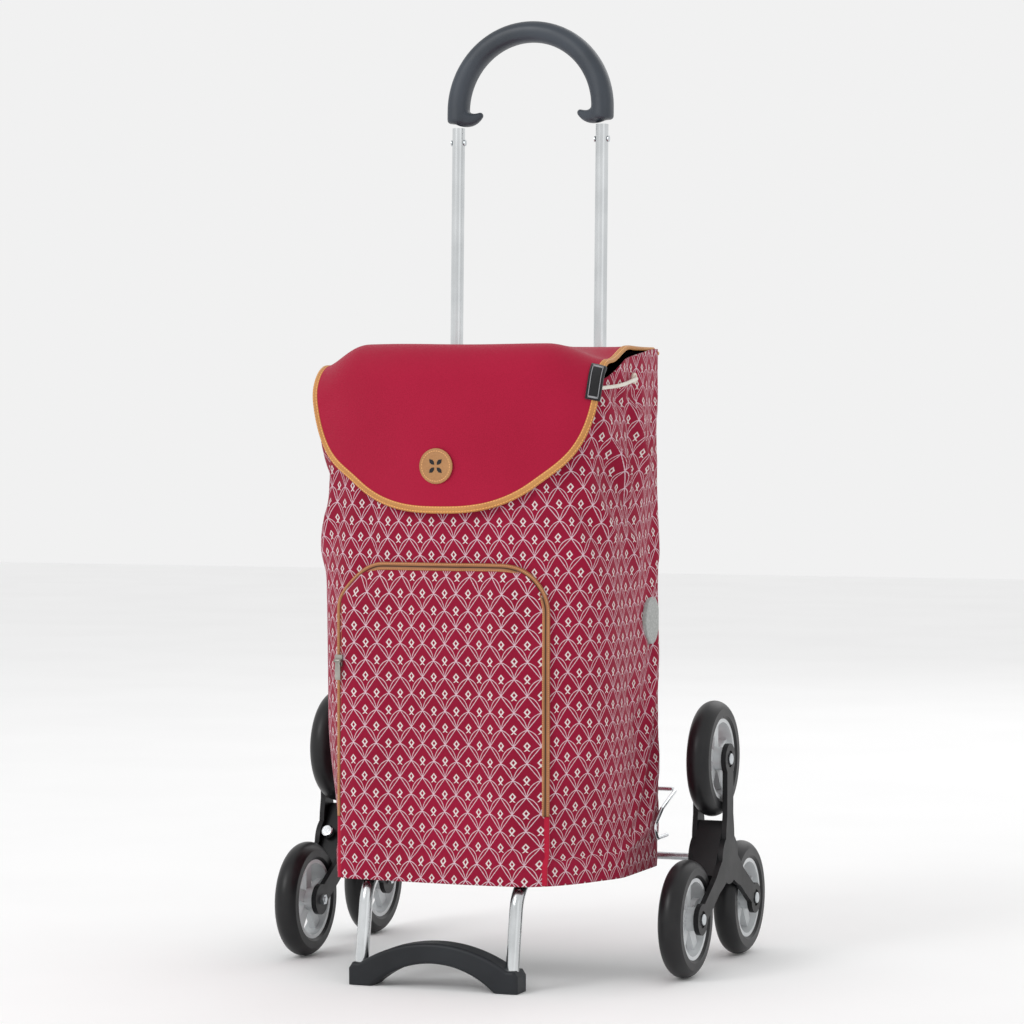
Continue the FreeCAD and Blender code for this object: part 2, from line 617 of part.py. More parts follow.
def make_spider(label, side):
    """Two three-armed plates joined by a core, with boss rings, recessed bolts and a stepped axle bore."""
    body = new_body(f"{label}_casting")
    plates = ((HALF_GAP, "Dims.plate_thickness"), (f"-{HALF_CLUSTER}", "Dims.plate_thickness"))
    for inner_face, thickness in plates:
        arm = new_sketch(body, "YZ_Plane", inner_face)
        half = "Dims.arm_width / 2"
        outline(arm, [
            (f"-{half} - 6", "0"), (f"{half} + 6", "0"), (f"{half} + 3", "Dims.arm_length * 0.3"),
            (half, "Dims.arm_length * 0.45"), (half, "Dims.arm_length"),
            (f"-{half}", "Dims.arm_length"), (f"-{half}", "Dims.arm_length * 0.45"),
            (f"-{half} - 3", "Dims.arm_length * 0.3"),
        ])
        arm_pad = pad(body, arm, thickness)
        end = new_sketch(body, "YZ_Plane", inner_face)
        circle(end, "Dims.arm_end_radius", "0", "Dims.arm_length")
        end_pad = pad(body, end, thickness)
        around(body, [arm_pad, end_pad], arm, "3")
        hub = new_sketch(body, "YZ_Plane", inner_face)
        circle(hub, "Dims.plate_waist")
        pad(body, hub, thickness)
    core = new_sketch(body, "YZ_Plane", f"-{HALF_GAP}")
    outline(core, core_corners())
    pad(body, core, f"2 * {HALF_GAP}")
    bolt = new_sketch(body, "YZ_Plane")
    circle(bolt, "Dims.bolt_radius + Dims.socket_gap", "0", "Dims.arm_length")
    bolt_cut = pocket(body, bolt)
    recess = new_sketch(body, "YZ_Plane", f"{HALF_CLUSTER} - Dims.rim_recess_depth")
    circle(recess, "Dims.bolt_recess_radius", "0", "Dims.arm_length")
    recess_cut = pocket(body, recess, "Dims.plate_thickness", backwards=True)
    around(body, [bolt_cut, recess_cut], bolt, "3")
    bush = new_sketch(body, "YZ_Plane", f"-{HALF_CLUSTER}")
    circle(bush, f"{AXLE_BORE} + Dims.bush_wall")
    pocket(body, bush, f"{HALF_CLUSTER} + 1", backwards=True)
    bore = new_sketch(body, "YZ_Plane")
    circle(bore, f"{AXLE_BORE}")
    pocket(body, bore, f"{HALF_GAP} - 1", backwards=True)
    cutters = []
    stem = document.addObject("Part::Cylinder", f"{label}_stem_bore")
    stem.setExpression("Radius", "Dims.button_stem_radius + Dims.running_gap")
    stem.setExpression("Height", "Dims.core_between")
    cutters.append(stem)
    slot = document.addObject("Part::Box", f"{label}_latch_slot")
    slot.setExpression("Length", "Dims.latch_thickness + 2 * Dims.latch_gap")
    slot.setExpression("Width", "Dims.latch_width + 2 * Dims.latch_gap")
    slot.setExpression("Height", "2 * Dims.latch_reach + Dims.button_travel + 2 * Dims.latch_gap")
    cutters.append(slot)
    spring = document.addObject("Part::Cylinder", f"{label}_spring_bore")
    spring.setExpression("Radius", "Dims.release_spring_radius"
                         " + 2 * Dims.release_spring_wire + Dims.latch_gap")
    spring.setExpression("Height", "Dims.latch_reach + Dims.release_spring_length + Dims.latch_gap")
    cutters.append(spring)
    lift = Rotation(Vector(1, 0, 0), -60)
    slot_low = "(Dims.latch_reach + Dims.button_travel + Dims.latch_gap)"
    spring_low = "(Dims.latch_reach + Dims.release_spring_length + Dims.latch_gap)"
    corner = {slot: ("Dims.latch_thickness / 2 + Dims.latch_gap",
                     "(Dims.latch_width / 2 + Dims.latch_gap)", slot_low),
              stem: ("0", "0", "0"), spring: ("0", "0", spring_low)}
    for cutter, (half_length, half_width, low) in corner.items():
        cutter.Placement = Placement(Vector(0, 0, 0), lift)
        cutter.setExpression("Placement.Base.x", f"Dims.latch_offset - ({half_length})")
        cutter.setExpression("Placement.Base.y", f"-{half_width} * cos(60 deg) - {low} * sin(60 deg)")
        cutter.setExpression("Placement.Base.z", f"{half_width} * sin(60 deg) - {low} * cos(60 deg)")
    tools = document.addObject("Part::MultiFuse", f"{label}_cutters")
    tools.Shapes = cutters
    spider = document.addObject("Part::Cut", label)
    spider.Base = body
    spider.Tool = tools
    place(spider, f"{side} * Dims.cluster_centre", "0", AXLE_HEIGHT, turn=cluster_turn(side))
    return keep(spider, label)


def core_corners():
    """The core's six-sided outline, cut back at the notch where the release button stands."""
    faces = [(90, "Dims.core_toward_wheel"), (30, "Dims.core_at_notch"), (330, "Dims.core_toward_wheel"),
             (270, "Dims.core_between"), (210, "Dims.core_toward_wheel"), (150, "Dims.core_between")]
    corners = []
    for number, (angle, reach) in enumerate(faces):
        following, following_reach = faces[(number + 1) % len(faces)]
        turn = f"sin({following - angle} deg)"
        across = f"(({reach}) * sin({following} deg) - ({following_reach}) * sin({angle} deg)) / {turn}"
        up = f"(({following_reach}) * cos({angle} deg) - ({reach}) * cos({following} deg)) / {turn}"
        corners.append((across, up))
    return corners


def make_button(label, side):
    """A domed push button, its stem and the latch plate that drops into the axle's groove."""
    body = new_body(label)
    plate = new_sketch(body, "YZ_Plane", "Dims.latch_offset - Dims.latch_thickness / 2")
    rectangle(plate, "-Dims.latch_width / 2", "Dims.latch_width / 2", "-Dims.latch_reach", "Dims.latch_reach")
    pad(body, plate, "Dims.latch_thickness")
    hole = new_sketch(body, "YZ_Plane")
    half = "(Dims.axle_radius + Dims.latch_gap)"
    catch = "(-Dims.axle_radius + Dims.axle_groove_depth - Dims.running_gap)"
    top = f"({half} + Dims.button_travel)"
    outline(hole, [(f"-{half}", catch), (half, catch), (half, top), (f"-{half}", top)])
    pocket(body, hole)
    stem = new_sketch(body, "XY_Plane", "Dims.latch_reach")
    circle(stem, "Dims.button_stem_radius", "Dims.latch_offset")
    pad(body, stem, "Dims.core_at_notch + Dims.button_travel + 0.5 - Dims.latch_reach")
    head = new_sketch(body, "XY_Plane", "Dims.core_at_notch + Dims.button_travel + 0.5")
    circle(head, "Dims.button_radius", "Dims.latch_offset")
    pad(body, head, "Dims.button_height")
    rounded(body, "2.2", lambda edge: edge.Curve.TypeId == "Part::GeomCircle"
            and edge.BoundBox.ZMin > value("Dims.core_at_notch + Dims.button_travel + Dims.button_height"))
    place(body, f"{side} * Dims.cluster_centre", "0", AXLE_HEIGHT, turn=latch_turn(side))
    return keep(body, label)


def make_release_spring(label, side):
    """The coil spring that pushes the latch plate back into the groove."""
    length = value("Dims.release_spring_length - 2 * Dims.release_spring_wire") - 0.2
    radius, wire = value("Dims.release_spring_radius"), value("Dims.release_spring_wire")
    turns = value("Dims.release_spring_turns")
    helix = Part.makeHelix(length / turns, length, radius)
    section = Part.Wire(Part.Circle(Vector(radius, 0, 0), Vector(0, 1, 0), wire).toShape())
    coil = Part.Wire(helix.Edges).makePipeShell([section], True, True)
    low = value("Dims.latch_reach + Dims.release_spring_length - Dims.release_spring_wire") - 0.1
    coil.translate(Vector(value("Dims.latch_offset"), 0, -low))
    direct(label, Part.makeCompound([coil]), across=f"{side} * Dims.cluster_centre", up=AXLE_HEIGHT,
           turn=latch_turn(side))


def make_bush(label, side):
    """The flanged bush that lines the cluster's bore."""
    body = new_body(label)
    half = new_sketch(body, "XY_Plane")
    inner, outer = AXLE_BORE, f"({AXLE_BORE} + Dims.bush_wall)"
    face, start = f"(-{HALF_CLUSTER})", f"(-{HALF_CLUSTER} - Dims.bush_flange)"
    outline(half, [(start, inner), ("0.5", inner), ("0.5", outer), (face, outer),
                   (face, f"{outer} + 2"), (start, f"{outer} + 2")])
    turned(body, half)
    place(body, f"{side} * Dims.cluster_centre", "0", AXLE_HEIGHT, turn=cluster_turn(side))
    return keep(body, label)


def make_wheel_bolts(label, side):
    """Three headed bolts, one through each arm, the wheel's hub and the plate behind."""
    reach, length = value(HALF_CLUSTER), value("Dims.arm_length")
    seat = reach - value("Dims.rim_recess_depth")
    tail = reach + value("Dims.nut_height") + 1
    solids = []
    for angle in arm_directions():
        centre = Vector(0, math.cos(angle) * length, math.sin(angle) * length)
        along = Vector(1, 0, 0)
        shank = Part.makeCylinder(value("Dims.bolt_radius"), seat + tail, centre - along * tail, along)
        head = Part.makeCylinder(value("Dims.bolt_head_radius"), value("Dims.bolt_head_height"),
                                 centre + along * seat, along)
        rim = [edge for edge in head.Edges if edge.BoundBox.XMin > seat + 1 and edge.BoundBox.YLength > 1]
        solids.append(shank.fuse(head.makeFillet(1.2, rim)).removeSplitter())
    direct(label, Part.makeCompound(solids), across=f"{side} * Dims.cluster_centre", up=AXLE_HEIGHT,
           turn=cluster_turn(side))


def make_wheel_nuts(label, side):
    """Three hexagon nuts on the bolts, against the inner plate."""
    corner = value("Dims.nut_across_flats") / math.sqrt(3)
    reach, length, height = value(HALF_CLUSTER), value("Dims.arm_length"), value("Dims.nut_height")
    solids = []
    for angle in arm_directions():
        centre = Vector(-reach - height, math.cos(angle) * length, math.sin(angle) * length)
        ring = [centre + Vector(0, corner * math.cos(turn * math.pi / 3),
                                corner * math.sin(turn * math.pi / 3))
                for turn in range(7)]
        prism = Part.Face(Part.makePolygon(ring)).extrude(Vector(height, 0, 0))
        bore = value("Dims.bolt_radius + Dims.socket_gap")
        hole = Part.makeCylinder(bore, 2 * height, centre - Vector(1, 0, 0), Vector(1, 0, 0))
        solids.append(prism.cut(hole))
    direct(label, Part.makeCompound(solids), across=f"{side} * Dims.cluster_centre", up=AXLE_HEIGHT,
           turn=cluster_turn(side))


def make_wheel(name, side, angle):
    """A tyre with a rounded crown on a spoked rim that runs on its bolt."""
    across = f"{side} * Dims.cluster_centre"
    back = f"{side} * Dims.arm_length * cos({angle} deg)"
    up = f"{AXLE_HEIGHT} + Dims.arm_length * sin({angle} deg)"
    tyre = new_body(f"tyre_{name}")
    section = new_sketch(tyre, "XY_Plane")
    half, outer = "Dims.tyre_width / 2", "Dims.tyre_diameter / 2"
    shoulder = f"({outer} - Dims.tyre_shoulder)"
    crown = f"(({half}) * ({half}) + Dims.tyre_shoulder * Dims.tyre_shoulder) / (2 * Dims.tyre_shoulder)"
    bead = "Dims.rim_width / 2"
    outline(section, [
        (f"-({bead})", "Dims.tyre_inner_radius"), (bead, "Dims.tyre_inner_radius"),
        (half, "Dims.tyre_inner_radius + 3"), (half, shoulder, crown, -1),
        (f"-({half})", shoulder), (f"-({half})", "Dims.tyre_inner_radius + 3"),
    ])
    turned(tyre, section)
    place(tyre, across, back, up, turn=cluster_turn(side))
    keep(tyre, f"tyre_{name}")
    rim = new_body(f"rim_{name}")
    ring = new_sketch(rim, "YZ_Plane")
    circle(ring, "Dims.tyre_inner_radius")
    circle(ring, "Dims.tyre_inner_radius - Dims.rim_ring")
    pad(rim, ring, "Dims.rim_width", symmetric=True)
    spoke = new_sketch(rim, "YZ_Plane")
    rectangle(spoke, "-Dims.spoke_width / 2", "Dims.spoke_width / 2", "0",
              "Dims.tyre_inner_radius - Dims.rim_ring / 2")
    spoke_pad = pad(rim, spoke, "Dims.rim_web", symmetric=True)
    around(rim, [spoke_pad], spoke, "Dims.spoke_count")
    hub = new_sketch(rim, "YZ_Plane")
    circle(hub, "Dims.wheel_hub_radius")
    pad(rim, hub, f"2 * ({HALF_GAP} - Dims.side_play)", symmetric=True)
    bore = new_sketch(rim, "YZ_Plane")
    circle(bore, "Dims.bolt_radius + Dims.running_gap")
    pocket(rim, bore)
    place(rim, across, back, up, turn=cluster_turn(side))
    keep(rim, f"rim_{name}")


# ---------------------------------------------------------------- bag
def corner_band(corner, face, straight_end, inward):
    """The plan of a wall that turns both corners; inward is 1 where the bag lies behind it, -1 in front."""
    out, wall = "Dims.bag_half_width", "Dims.bag_wall"
    lining = f"({face} + {inward} * {wall})"
    return [
        (f"-{out}", straight_end, corner, -inward),
        (f"-{out} + {corner}", face),
        (f"{out} - {corner}", face, corner, -inward),
        (out, straight_end),
        (f"{out} - {wall}", straight_end, f"({corner} - {wall})", inward),
        (f"{out} - {corner}", lining),
        (f"-{out} + {corner}", lining, f"({corner} - {wall})", inward),
        (f"-{out} + {wall}", straight_end),
    ]


def make_bag_wall(label, corner, face, straight_end, inward, top):
    body = new_body(label)
    plan = new_sketch(body, "XY_Plane", WALL_BOTTOM)
    outline(plan, corner_band(corner, face, straight_end, inward))
    pad(body, plan, f"{top} - {WALL_BOTTOM}")
    place(body)
    return keep(body, label)


def make_bag_side(label, side):
    """A side wall between the two corner walls, pierced where the drawstring comes out."""
    body = new_body(label)
    flat = new_sketch(body, "YZ_Plane", "Dims.bag_half_width - Dims.bag_wall")
    rectangle(flat, "-Dims.bag_front + Dims.bag_front_corner", "-Dims.bag_back - Dims.bag_back_corner",
              WALL_BOTTOM, "Dims.bag_top")
    circle(flat, "Dims.eyelet_hole", "-Dims.eyelet_forward", "Dims.eyelet_height")
    pad(body, flat, "Dims.bag_wall")
    across = "0" if side > 0 else "-2 * Dims.bag_half_width + Dims.bag_wall"
    place(body, across)
    return keep(body, label)


def bag_plan(grow="0"):
    """The closed plan of the bag, grown outwards by an amount on all sides but the back."""
    out, front = f"(Dims.bag_half_width + {grow})", f"(-Dims.bag_front - {grow})"
    corner = f"(Dims.bag_front_corner + {grow})"
    back, back_corner = "(-Dims.bag_back)", "Dims.bag_back_corner"
    return [
        (f"-{out}", f"{front} + {corner}", corner, -1),
        (f"-{out} + {corner}", front),
        (f"{out} - {corner}", front, corner, -1),
        (out, f"{front} + {corner}"),
        (out, f"{back} - {back_corner}", back_corner, -1),
        (f"{out} - {back_corner}", back),
        (f"-{out} + {back_corner}", back, back_corner, -1),
        (f"-{out}", f"{back} - {back_corner}"),
    ]


def make_bag_base():
    body = new_body("bag_base_board")
    plan = new_sketch(body, "XY_Plane", "Dims.bag_bottom")
    outline(plan, bag_plan())
    pad(body, plan, "Dims.bag_wall")
    place(body)
    return keep(body, "bag_base_board")


def pocket_outline(inset="0"):
    """The pocket's front view: square at the bottom and rounded at both top corners."""
    half, top = f"(Dims.pocket_half_width - {inset})", f"(Dims.pocket_top - {inset})"
    corner = f"(Dims.pocket_corner - {inset})"
    return [
        (f"-{half}", WALL_BOTTOM), (half, WALL_BOTTOM),
        (half, f"{top} - {corner}", corner, -1), (f"{half} - {corner}", top),
        (f"-{half} + {corner}", top, corner, -1), (f"-{half}", f"{top} - {corner}"),
    ]


def make_pocket():
    body = new_body("front_pocket")
    view = new_sketch(body, "XZ_Plane", "Dims.bag_front")
    outline(view, pocket_outline())
    pad(body, view, "Dims.pocket_bulge")
    place(body)
    return keep(body, "front_pocket")


def make_zip_band():
    """The bound zip that runs up one side of the pocket, over its top and down the other."""
    body = new_body("pocket_zip")
    view = new_sketch(body, "XZ_Plane", POCKET_FACE)
    outer, inner = pocket_outline(), pocket_outline("Dims.zip_band")
    arc = inner[2][2]
    outline(view, [
        outer[0],
        (inner[0][0], inner[0][1]),
        (inner[5][0], inner[5][1], arc, 1),
        (inner[4][0], inner[4][1]),
        (inner[3][0], inner[3][1], arc, 1),
        (inner[2][0], inner[2][1]),
        (inner[1][0], inner[1][1]),
        outer[1], outer[2], outer[3], outer[4], outer[5],
    ])
    pad(body, view, "Dims.zip_thickness")
    place(body)
    return keep(body, "pocket_zip")


def slider_centre():
    """Across and up position of the slider's pin, and how far forward the pin's own line is."""
    across = "(-Dims.pocket_half_width + Dims.zip_band / 2)"
    forward = f"({BAND_FACE} + Dims.slider_gap + Dims.slider_thickness + Dims.pin_stand_off)"
    return across, "Dims.slider_height", forward


def make_slider():
    """The zip's slider: a flat body with two ears and the pin that the pull turns on."""
    body = new_body("zip_slider")
    view = new_sketch(body, "XZ_Plane", f"{BAND_FACE} + Dims.slider_gap")
    centre, level, pin = slider_centre()
    half = "Dims.slider_width / 2"
    rectangle(view, f"{centre} - {half}", f"{centre} + {half}",
              f"{level} - Dims.slider_length / 2", f"{level} + Dims.slider_length / 2")
    pad(body, view, "Dims.slider_thickness")
    for inner_face in (f"{centre} - Dims.ear_gap - Dims.ear_thickness", f"{centre} + Dims.ear_gap"):
        ear = new_sketch(body, "YZ_Plane", inner_face)
        rectangle(ear, f"-{pin} - Dims.ear_reach", f"-{pin} + Dims.pin_stand_off + 0.1",
                  f"{level} - Dims.ear_reach", f"{level} + Dims.ear_reach")
        pad(body, ear, "Dims.ear_thickness")
    shaft = new_sketch(body, "YZ_Plane", f"{centre} - Dims.ear_gap - Dims.ear_thickness / 2")
    circle(shaft, "Dims.pin_radius", f"-{pin}", level)
    pad(body, shaft, "2 * Dims.ear_gap + Dims.ear_thickness")
    place(body)
    return keep(body, "zip_slider")


def make_pull():
    """The zip's pull: a thin tab with a round eye that turns on the slider's pin."""
    body = new_body("zip_pull")
    centre, level, pin = slider_centre()
    neck, half = "(Dims.ear_gap - Dims.pull_side_gap)", "Dims.pull_width / 2"
    eye = new_sketch(body, "YZ_Plane", f"{centre} - {neck}")
    circle(eye, "Dims.pull_eye", f"-{pin}", level)
    circle(eye, "Dims.pin_radius + Dims.pin_clearance", f"-{pin}", level)
    pad(body, eye, f"2 * {neck}")
    tab = new_sketch(body, "XZ_Plane", f"{pin} - Dims.pull_thickness / 2")
    root, shoulder = f"{level} - Dims.pull_eye + 0.4", f"{level} - Dims.pull_shoulder"
    foot = f"{level} - Dims.pull_length"
    outline(tab, [
        (f"{centre} - {half}", foot), (f"{centre} + {half}", foot), (f"{centre} + {half}", shoulder),
        (f"{centre} + {neck}", shoulder), (f"{centre} + {neck}", root), (f"{centre} - {neck}", root),
        (f"{centre} - {neck}", shoulder), (f"{centre} - {half}", shoulder),
    ])
    pad(body, tab, "Dims.pull_thickness")
    place(body)
    return keep(body, "zip_pull")


def make_side_discs(label, radius, hole, thickness, forward, height):
    """A pair of flat discs, one on the outside of each side wall, kept on the wall's flat stretch."""
    solids = []
    for side in (-1, 1):
        centre = Vector(side * value("Dims.bag_half_width"), -value(forward), value(height))
        outward = Vector(side, 0, 0)
        disc = Part.makeCylinder(value(radius), value(thickness), centre, outward)
        if hole:
            disc = disc.cut(Part.makeCylinder(value(hole), value(thickness), centre, outward))
        flat_end = -value("Dims.bag_back + Dims.bag_back_corner")
        size = 4 * value(radius)
        behind = Part.makeBox(size, size, size, Vector(centre.x - size / 2, flat_end, centre.z - size / 2))
        solids.append(disc.cut(behind))
    direct(label, Part.makeCompound(solids))


def drawstring_points():
    """The cord's route over the right half: out of the eyelet, forward along the side, in again at the
    front corner, and on inside the mouth to just right of the middle of the front."""
    side, front = value("Dims.bag_half_width"), value("Dims.bag_front")
    forward, height = value("Dims.eyelet_forward"), value("Dims.eyelet_height")
    return [
        Vector(side - 6, -forward, height),
        Vector(side + 4.2, -forward, height),
        Vector(side + 3.2, -forward - 13, height - 2),
        Vector(side + 3.1, -forward - 36, height - 6),
        Vector(side + 2.4, -front + 66, height - 9),
        Vector(side - 7, -front + 38, height - 11),
        Vector(side - 31, -front + 27, height - 12.5),
        Vector(side - 63, -front + 19, height - 13.5),
        Vector(side - 108, -front + 9, height - 15),
        Vector(side - 143, -front + 5.5, height - 15.6),
    ]


def make_drawstring():
    """The white cord: out of one eyelet, round the front of the mouth, and into the other eyelet."""
    right = drawstring_points()
    points = right + [Vector(-point.x, point.y, point.z) for point in reversed(right)]
    route = largest_arcs(points)
    direct("drawstring", rod(route, value("Dims.cord_radius")))


def make_straps():
    """Webbing loops sewn to the bag's back that hold it to the uprights."""
    lean = math.tan(math.radians(value("Dims.upright_lean")))
    gap, thick = value("Dims.strap_gap"), value("Dims.strap_thickness")
    tube_radius, back = value("Dims.tube_radius"), value("Dims.bag_back")
    solids = []
    for level in (value("Dims.strap_low"), value("Dims.strap_high")):
        centre_back = (level - value(AXLE_HEIGHT)) * lean
        for side in (-1, 1):
            middle = side * value(HALF_TRACK)
            inner = tube_radius + gap
            reach = centre_back + inner + 0.5
            height = value("Dims.strap_height")
            start = Vector(middle - inner - thick, -back, level - height / 2)
            block = Part.makeBox(2 * (inner + thick), back + reach + thick, height, start)
            hollow = Part.makeBox(2 * inner, back + reach, height, start + Vector(thick, 0, 0))
            solids.append(block.cut(hollow))
    direct("bag_straps", Part.makeCompound(solids))


# ---------------------------------------------------------------- lid
def lid_block(name, grow, top):
    """A solid block with the bag's plan and a rounded top edge, from below the lid's lowest point."""
    body = new_body(name)
    plan = new_sketch(body, "XY_Plane", "Dims.lid_bottom - 10")
    outline(plan, bag_plan(grow))
    pad(body, plan, f"{top} - Dims.lid_bottom + 10")
    return body


def lid_shell(name, extra):
    """A shell over the bag's mouth and front, thickened on both faces by extra."""
    outer_grow = f"(Dims.lid_gap + Dims.lid_thickness + {extra})"
    inner_grow = f"(Dims.lid_gap - {extra})"
    outer = lid_block(f"{name}_outer", outer_grow, f"({LID_TOP} + Dims.lid_thickness + {extra})")
    inner = lid_block(f"{name}_inner", inner_grow, f"({LID_TOP} - {extra})")
    rounds = ((outer, f"Dims.lid_round + {extra}"), (inner, f"Dims.lid_round - Dims.lid_thickness - {extra}"))
    for block, radius in rounds:
        top = block.Shape.BoundBox.ZMax
        back = -value("Dims.bag_back") - 1
        rounded(block, radius, lambda edge: edge.BoundBox.ZMin > top - 0.01
                and edge.BoundBox.YMin < back - value("Dims.bag_back_corner"))
    shell = document.addObject("Part::Cut", f"{name}_shell")
    shell.Base = outer
    shell.Tool = inner
    return shell


def lid_views(name, inset):
    """The lid's limits as two prisms: its half-round front view and its side view."""
    half = f"(Dims.bag_half_width + Dims.lid_gap + Dims.lid_thickness + 5)"
    front = new_body(f"{name}_front_view")
    view = new_sketch(front, "XZ_Plane")
    low, side = f"(Dims.lid_bottom + {inset})", f"(Dims.lid_side + {inset})"
    chin, cheek = "60", "(Dims.bag_half_width - 22)"
    outline(view, [
        (f"-{half}", side, "95", -1), (f"-{cheek}", f"{low} + 52", "165", -1),
        (f"-{chin}", f"{low} + 6", "330", -1), (chin, f"{low} + 6", "165", -1),
        (cheek, f"{low} + 52", "95", -1), (half, side),
        (half, f"{LID_TOP} + 10"), (f"-{half}", f"{LID_TOP} + 10"),
    ])
    pad(front, view, "2 * Dims.bag_front")
    flank = new_body(f"{name}_side_view")
    view = new_sketch(flank, "YZ_Plane")
    rear = "(-Dims.lid_hinge_forward)"
    front_end = "(-Dims.bag_front - Dims.lid_gap - 20)"
    corner = "(-Dims.bag_front + Dims.bag_front_corner)"
    outline(view, [
        (rear, f"{LID_TOP} - Dims.lid_rear_skirt + {inset}"),
        (f"{rear} - 60", f"{LID_TOP} - Dims.lid_rear_skirt + {inset} - 4"),
        (f"{corner} - 5", f"{side}"),
        (f"{corner} - 12", f"{low} - 5"),
        (front_end, f"{low} - 5"), (front_end, f"{LID_TOP} + 10"), (rear, f"{LID_TOP} + 10"),
    ])
    pad(flank, view, f"2 * {half}", symmetric=True)
    return front, flank


def make_lid():
    """The flap and the binding round its edge: one shell, split a binding's width inside its limits."""
    shell = lid_shell("lid", "0")
    front, flank = lid_views("lid_inside", "Dims.lid_binding")
    flap = document.addObject("Part::MultiCommon", "lid_flap")
    flap.Shapes = [shell, front, flank]
    place(flap)
    keep(flap, "lid_flap")
    thick = lid_shell("binding", "Dims.lid_binding_proud")
    front_out, flank_out = lid_views("lid_outside", "0")
    front_in, flank_in = lid_views("lid_inner_limit", "Dims.lid_binding")
    whole = document.addObject("Part::MultiCommon", "binding_whole")
    whole.Shapes = [thick, front_out, flank_out]
    hole = document.addObject("Part::MultiCommon", "binding_hole")
    hole.Shapes = [front_in, flank_in]
    binding = document.addObject("Part::Cut", "lid_binding")
    binding.Base = whole
    binding.Tool = hole
    place(binding)
    keep(binding, "lid_binding")


def make_badge():
    """A round leather patch on the lid's front."""
    body = new_body("lid_badge")
    view = new_sketch(body, "XZ_Plane", "Dims.bag_front + Dims.lid_gap + Dims.lid_thickness")
    circle(view, "Dims.badge_radius", "-Dims.badge_off_centre", "Dims.badge_height")
    pad(body, view, "Dims.badge_thickness")
    place(body)
    return keep(body, "lid_badge")


def make_label():
    """A folded woven tab that sticks out from the lid's side edge."""
    body = new_body("label_tab")
    view = new_sketch(body, "YZ_Plane", "Dims.bag_half_width + Dims.lid_gap + Dims.lid_thickness")
    front = "(-Dims.label_forward)"
    rectangle(view, front, f"{front} + Dims.label_width",
              "Dims.label_level", "Dims.label_level + Dims.label_height")
    pad(body, view, "Dims.label_thickness")
    place(body)
    return keep(body, "label_tab")


# ---------------------------------------------------------------- the whole trolley
SIDES = (("right", 1), ("left", -1))
for hand, sign in SIDES:
    make_upright(f"upright_{hand}", sign)
    make_knuckle(f"knuckle_{hand}", sign)
    make_hook_clip(f"hook_clip_{hand}", sign)
    make_leg(f"platform_leg_{hand}", sign)
    make_spider(f"spider_{hand}", sign)
    make_button(f"release_button_{hand}", sign)
    make_release_spring(f"release_spring_{hand}", sign)
    make_bush(f"hub_bush_{hand}", sign)
    make_wheel_bolts(f"wheel_bolts_{hand}", sign)
    make_wheel_nuts(f"wheel_nuts_{hand}", sign)
    make_bag_side(f"bag_side_{hand}", sign)
    front, rear = (210, 330) if sign > 0 else (330, 210)
    for spot, direction in (("top", 90), ("front", front), ("rear", rear)):
        make_wheel(f"{hand}_{spot}", sign, direction)
make_pivot_pins()
make_grip()
make_grip_rivets()
make_cart_hook()
make_axle()
make_braces()
make_foot()
make_bag_wall("bag_front_panel", "Dims.bag_front_corner", "(-Dims.bag_front)",
              "(-Dims.bag_front + Dims.bag_front_corner)", 1, "Dims.bag_top")
make_bag_wall("bag_back_panel", "Dims.bag_back_corner", "(-Dims.bag_back)",
              "(-Dims.bag_back - Dims.bag_back_corner)", -1, f"({LID_TOP} - Dims.lid_hinge_clearance)")
make_bag_base()
make_pocket()
make_zip_band()
make_slider()
make_pull()
make_side_discs("eyelets", "Dims.eyelet_radius", "Dims.eyelet_hole", "Dims.eyelet_thickness",
                "Dims.eyelet_forward", "Dims.eyelet_height")
make_side_discs("reflectors", "Dims.reflector_radius", None, "Dims.reflector_thickness",
                "Dims.reflector_forward", "Dims.reflector_height")
make_drawstring()
make_straps()
make_lid()
make_badge()
make_label()
document.recompute()

# ---------------------------------------------------------------- checks, then one STEP file per sub-part
for piece in document.Objects:
    if {"Invalid", "Error"} & set(piece.State):
        raise RuntimeError(f"{piece.Label} failed: {piece.State}")
for piece in subparts:
    if piece.Shape.isNull() or not piece.Shape.isValid() or not piece.Shape.Solids:
        raise RuntimeError(f"{piece.Label} has no valid solid")
if len({piece.Label for piece in subparts}) != len(subparts):
    raise RuntimeError("two sub-parts share a name")

os.makedirs("parts", exist_ok=True)
for piece in subparts:
    piece.Shape.exportStep(f"parts/{piece.Label}.step")
print(f"{len(subparts)} sub-parts written")
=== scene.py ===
"""The looks of the shopping trolley on wheels: its soft bag, lid, binding, cord and finishes.

Lengths are in millimetres from the wheel clusters' axle line, y forward negative, and place()
turns them into the frame's metres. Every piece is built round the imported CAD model.
"""
import json
import math

import bpy
import numpy as np
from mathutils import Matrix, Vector
from mathutils.bvhtree import BVHTree


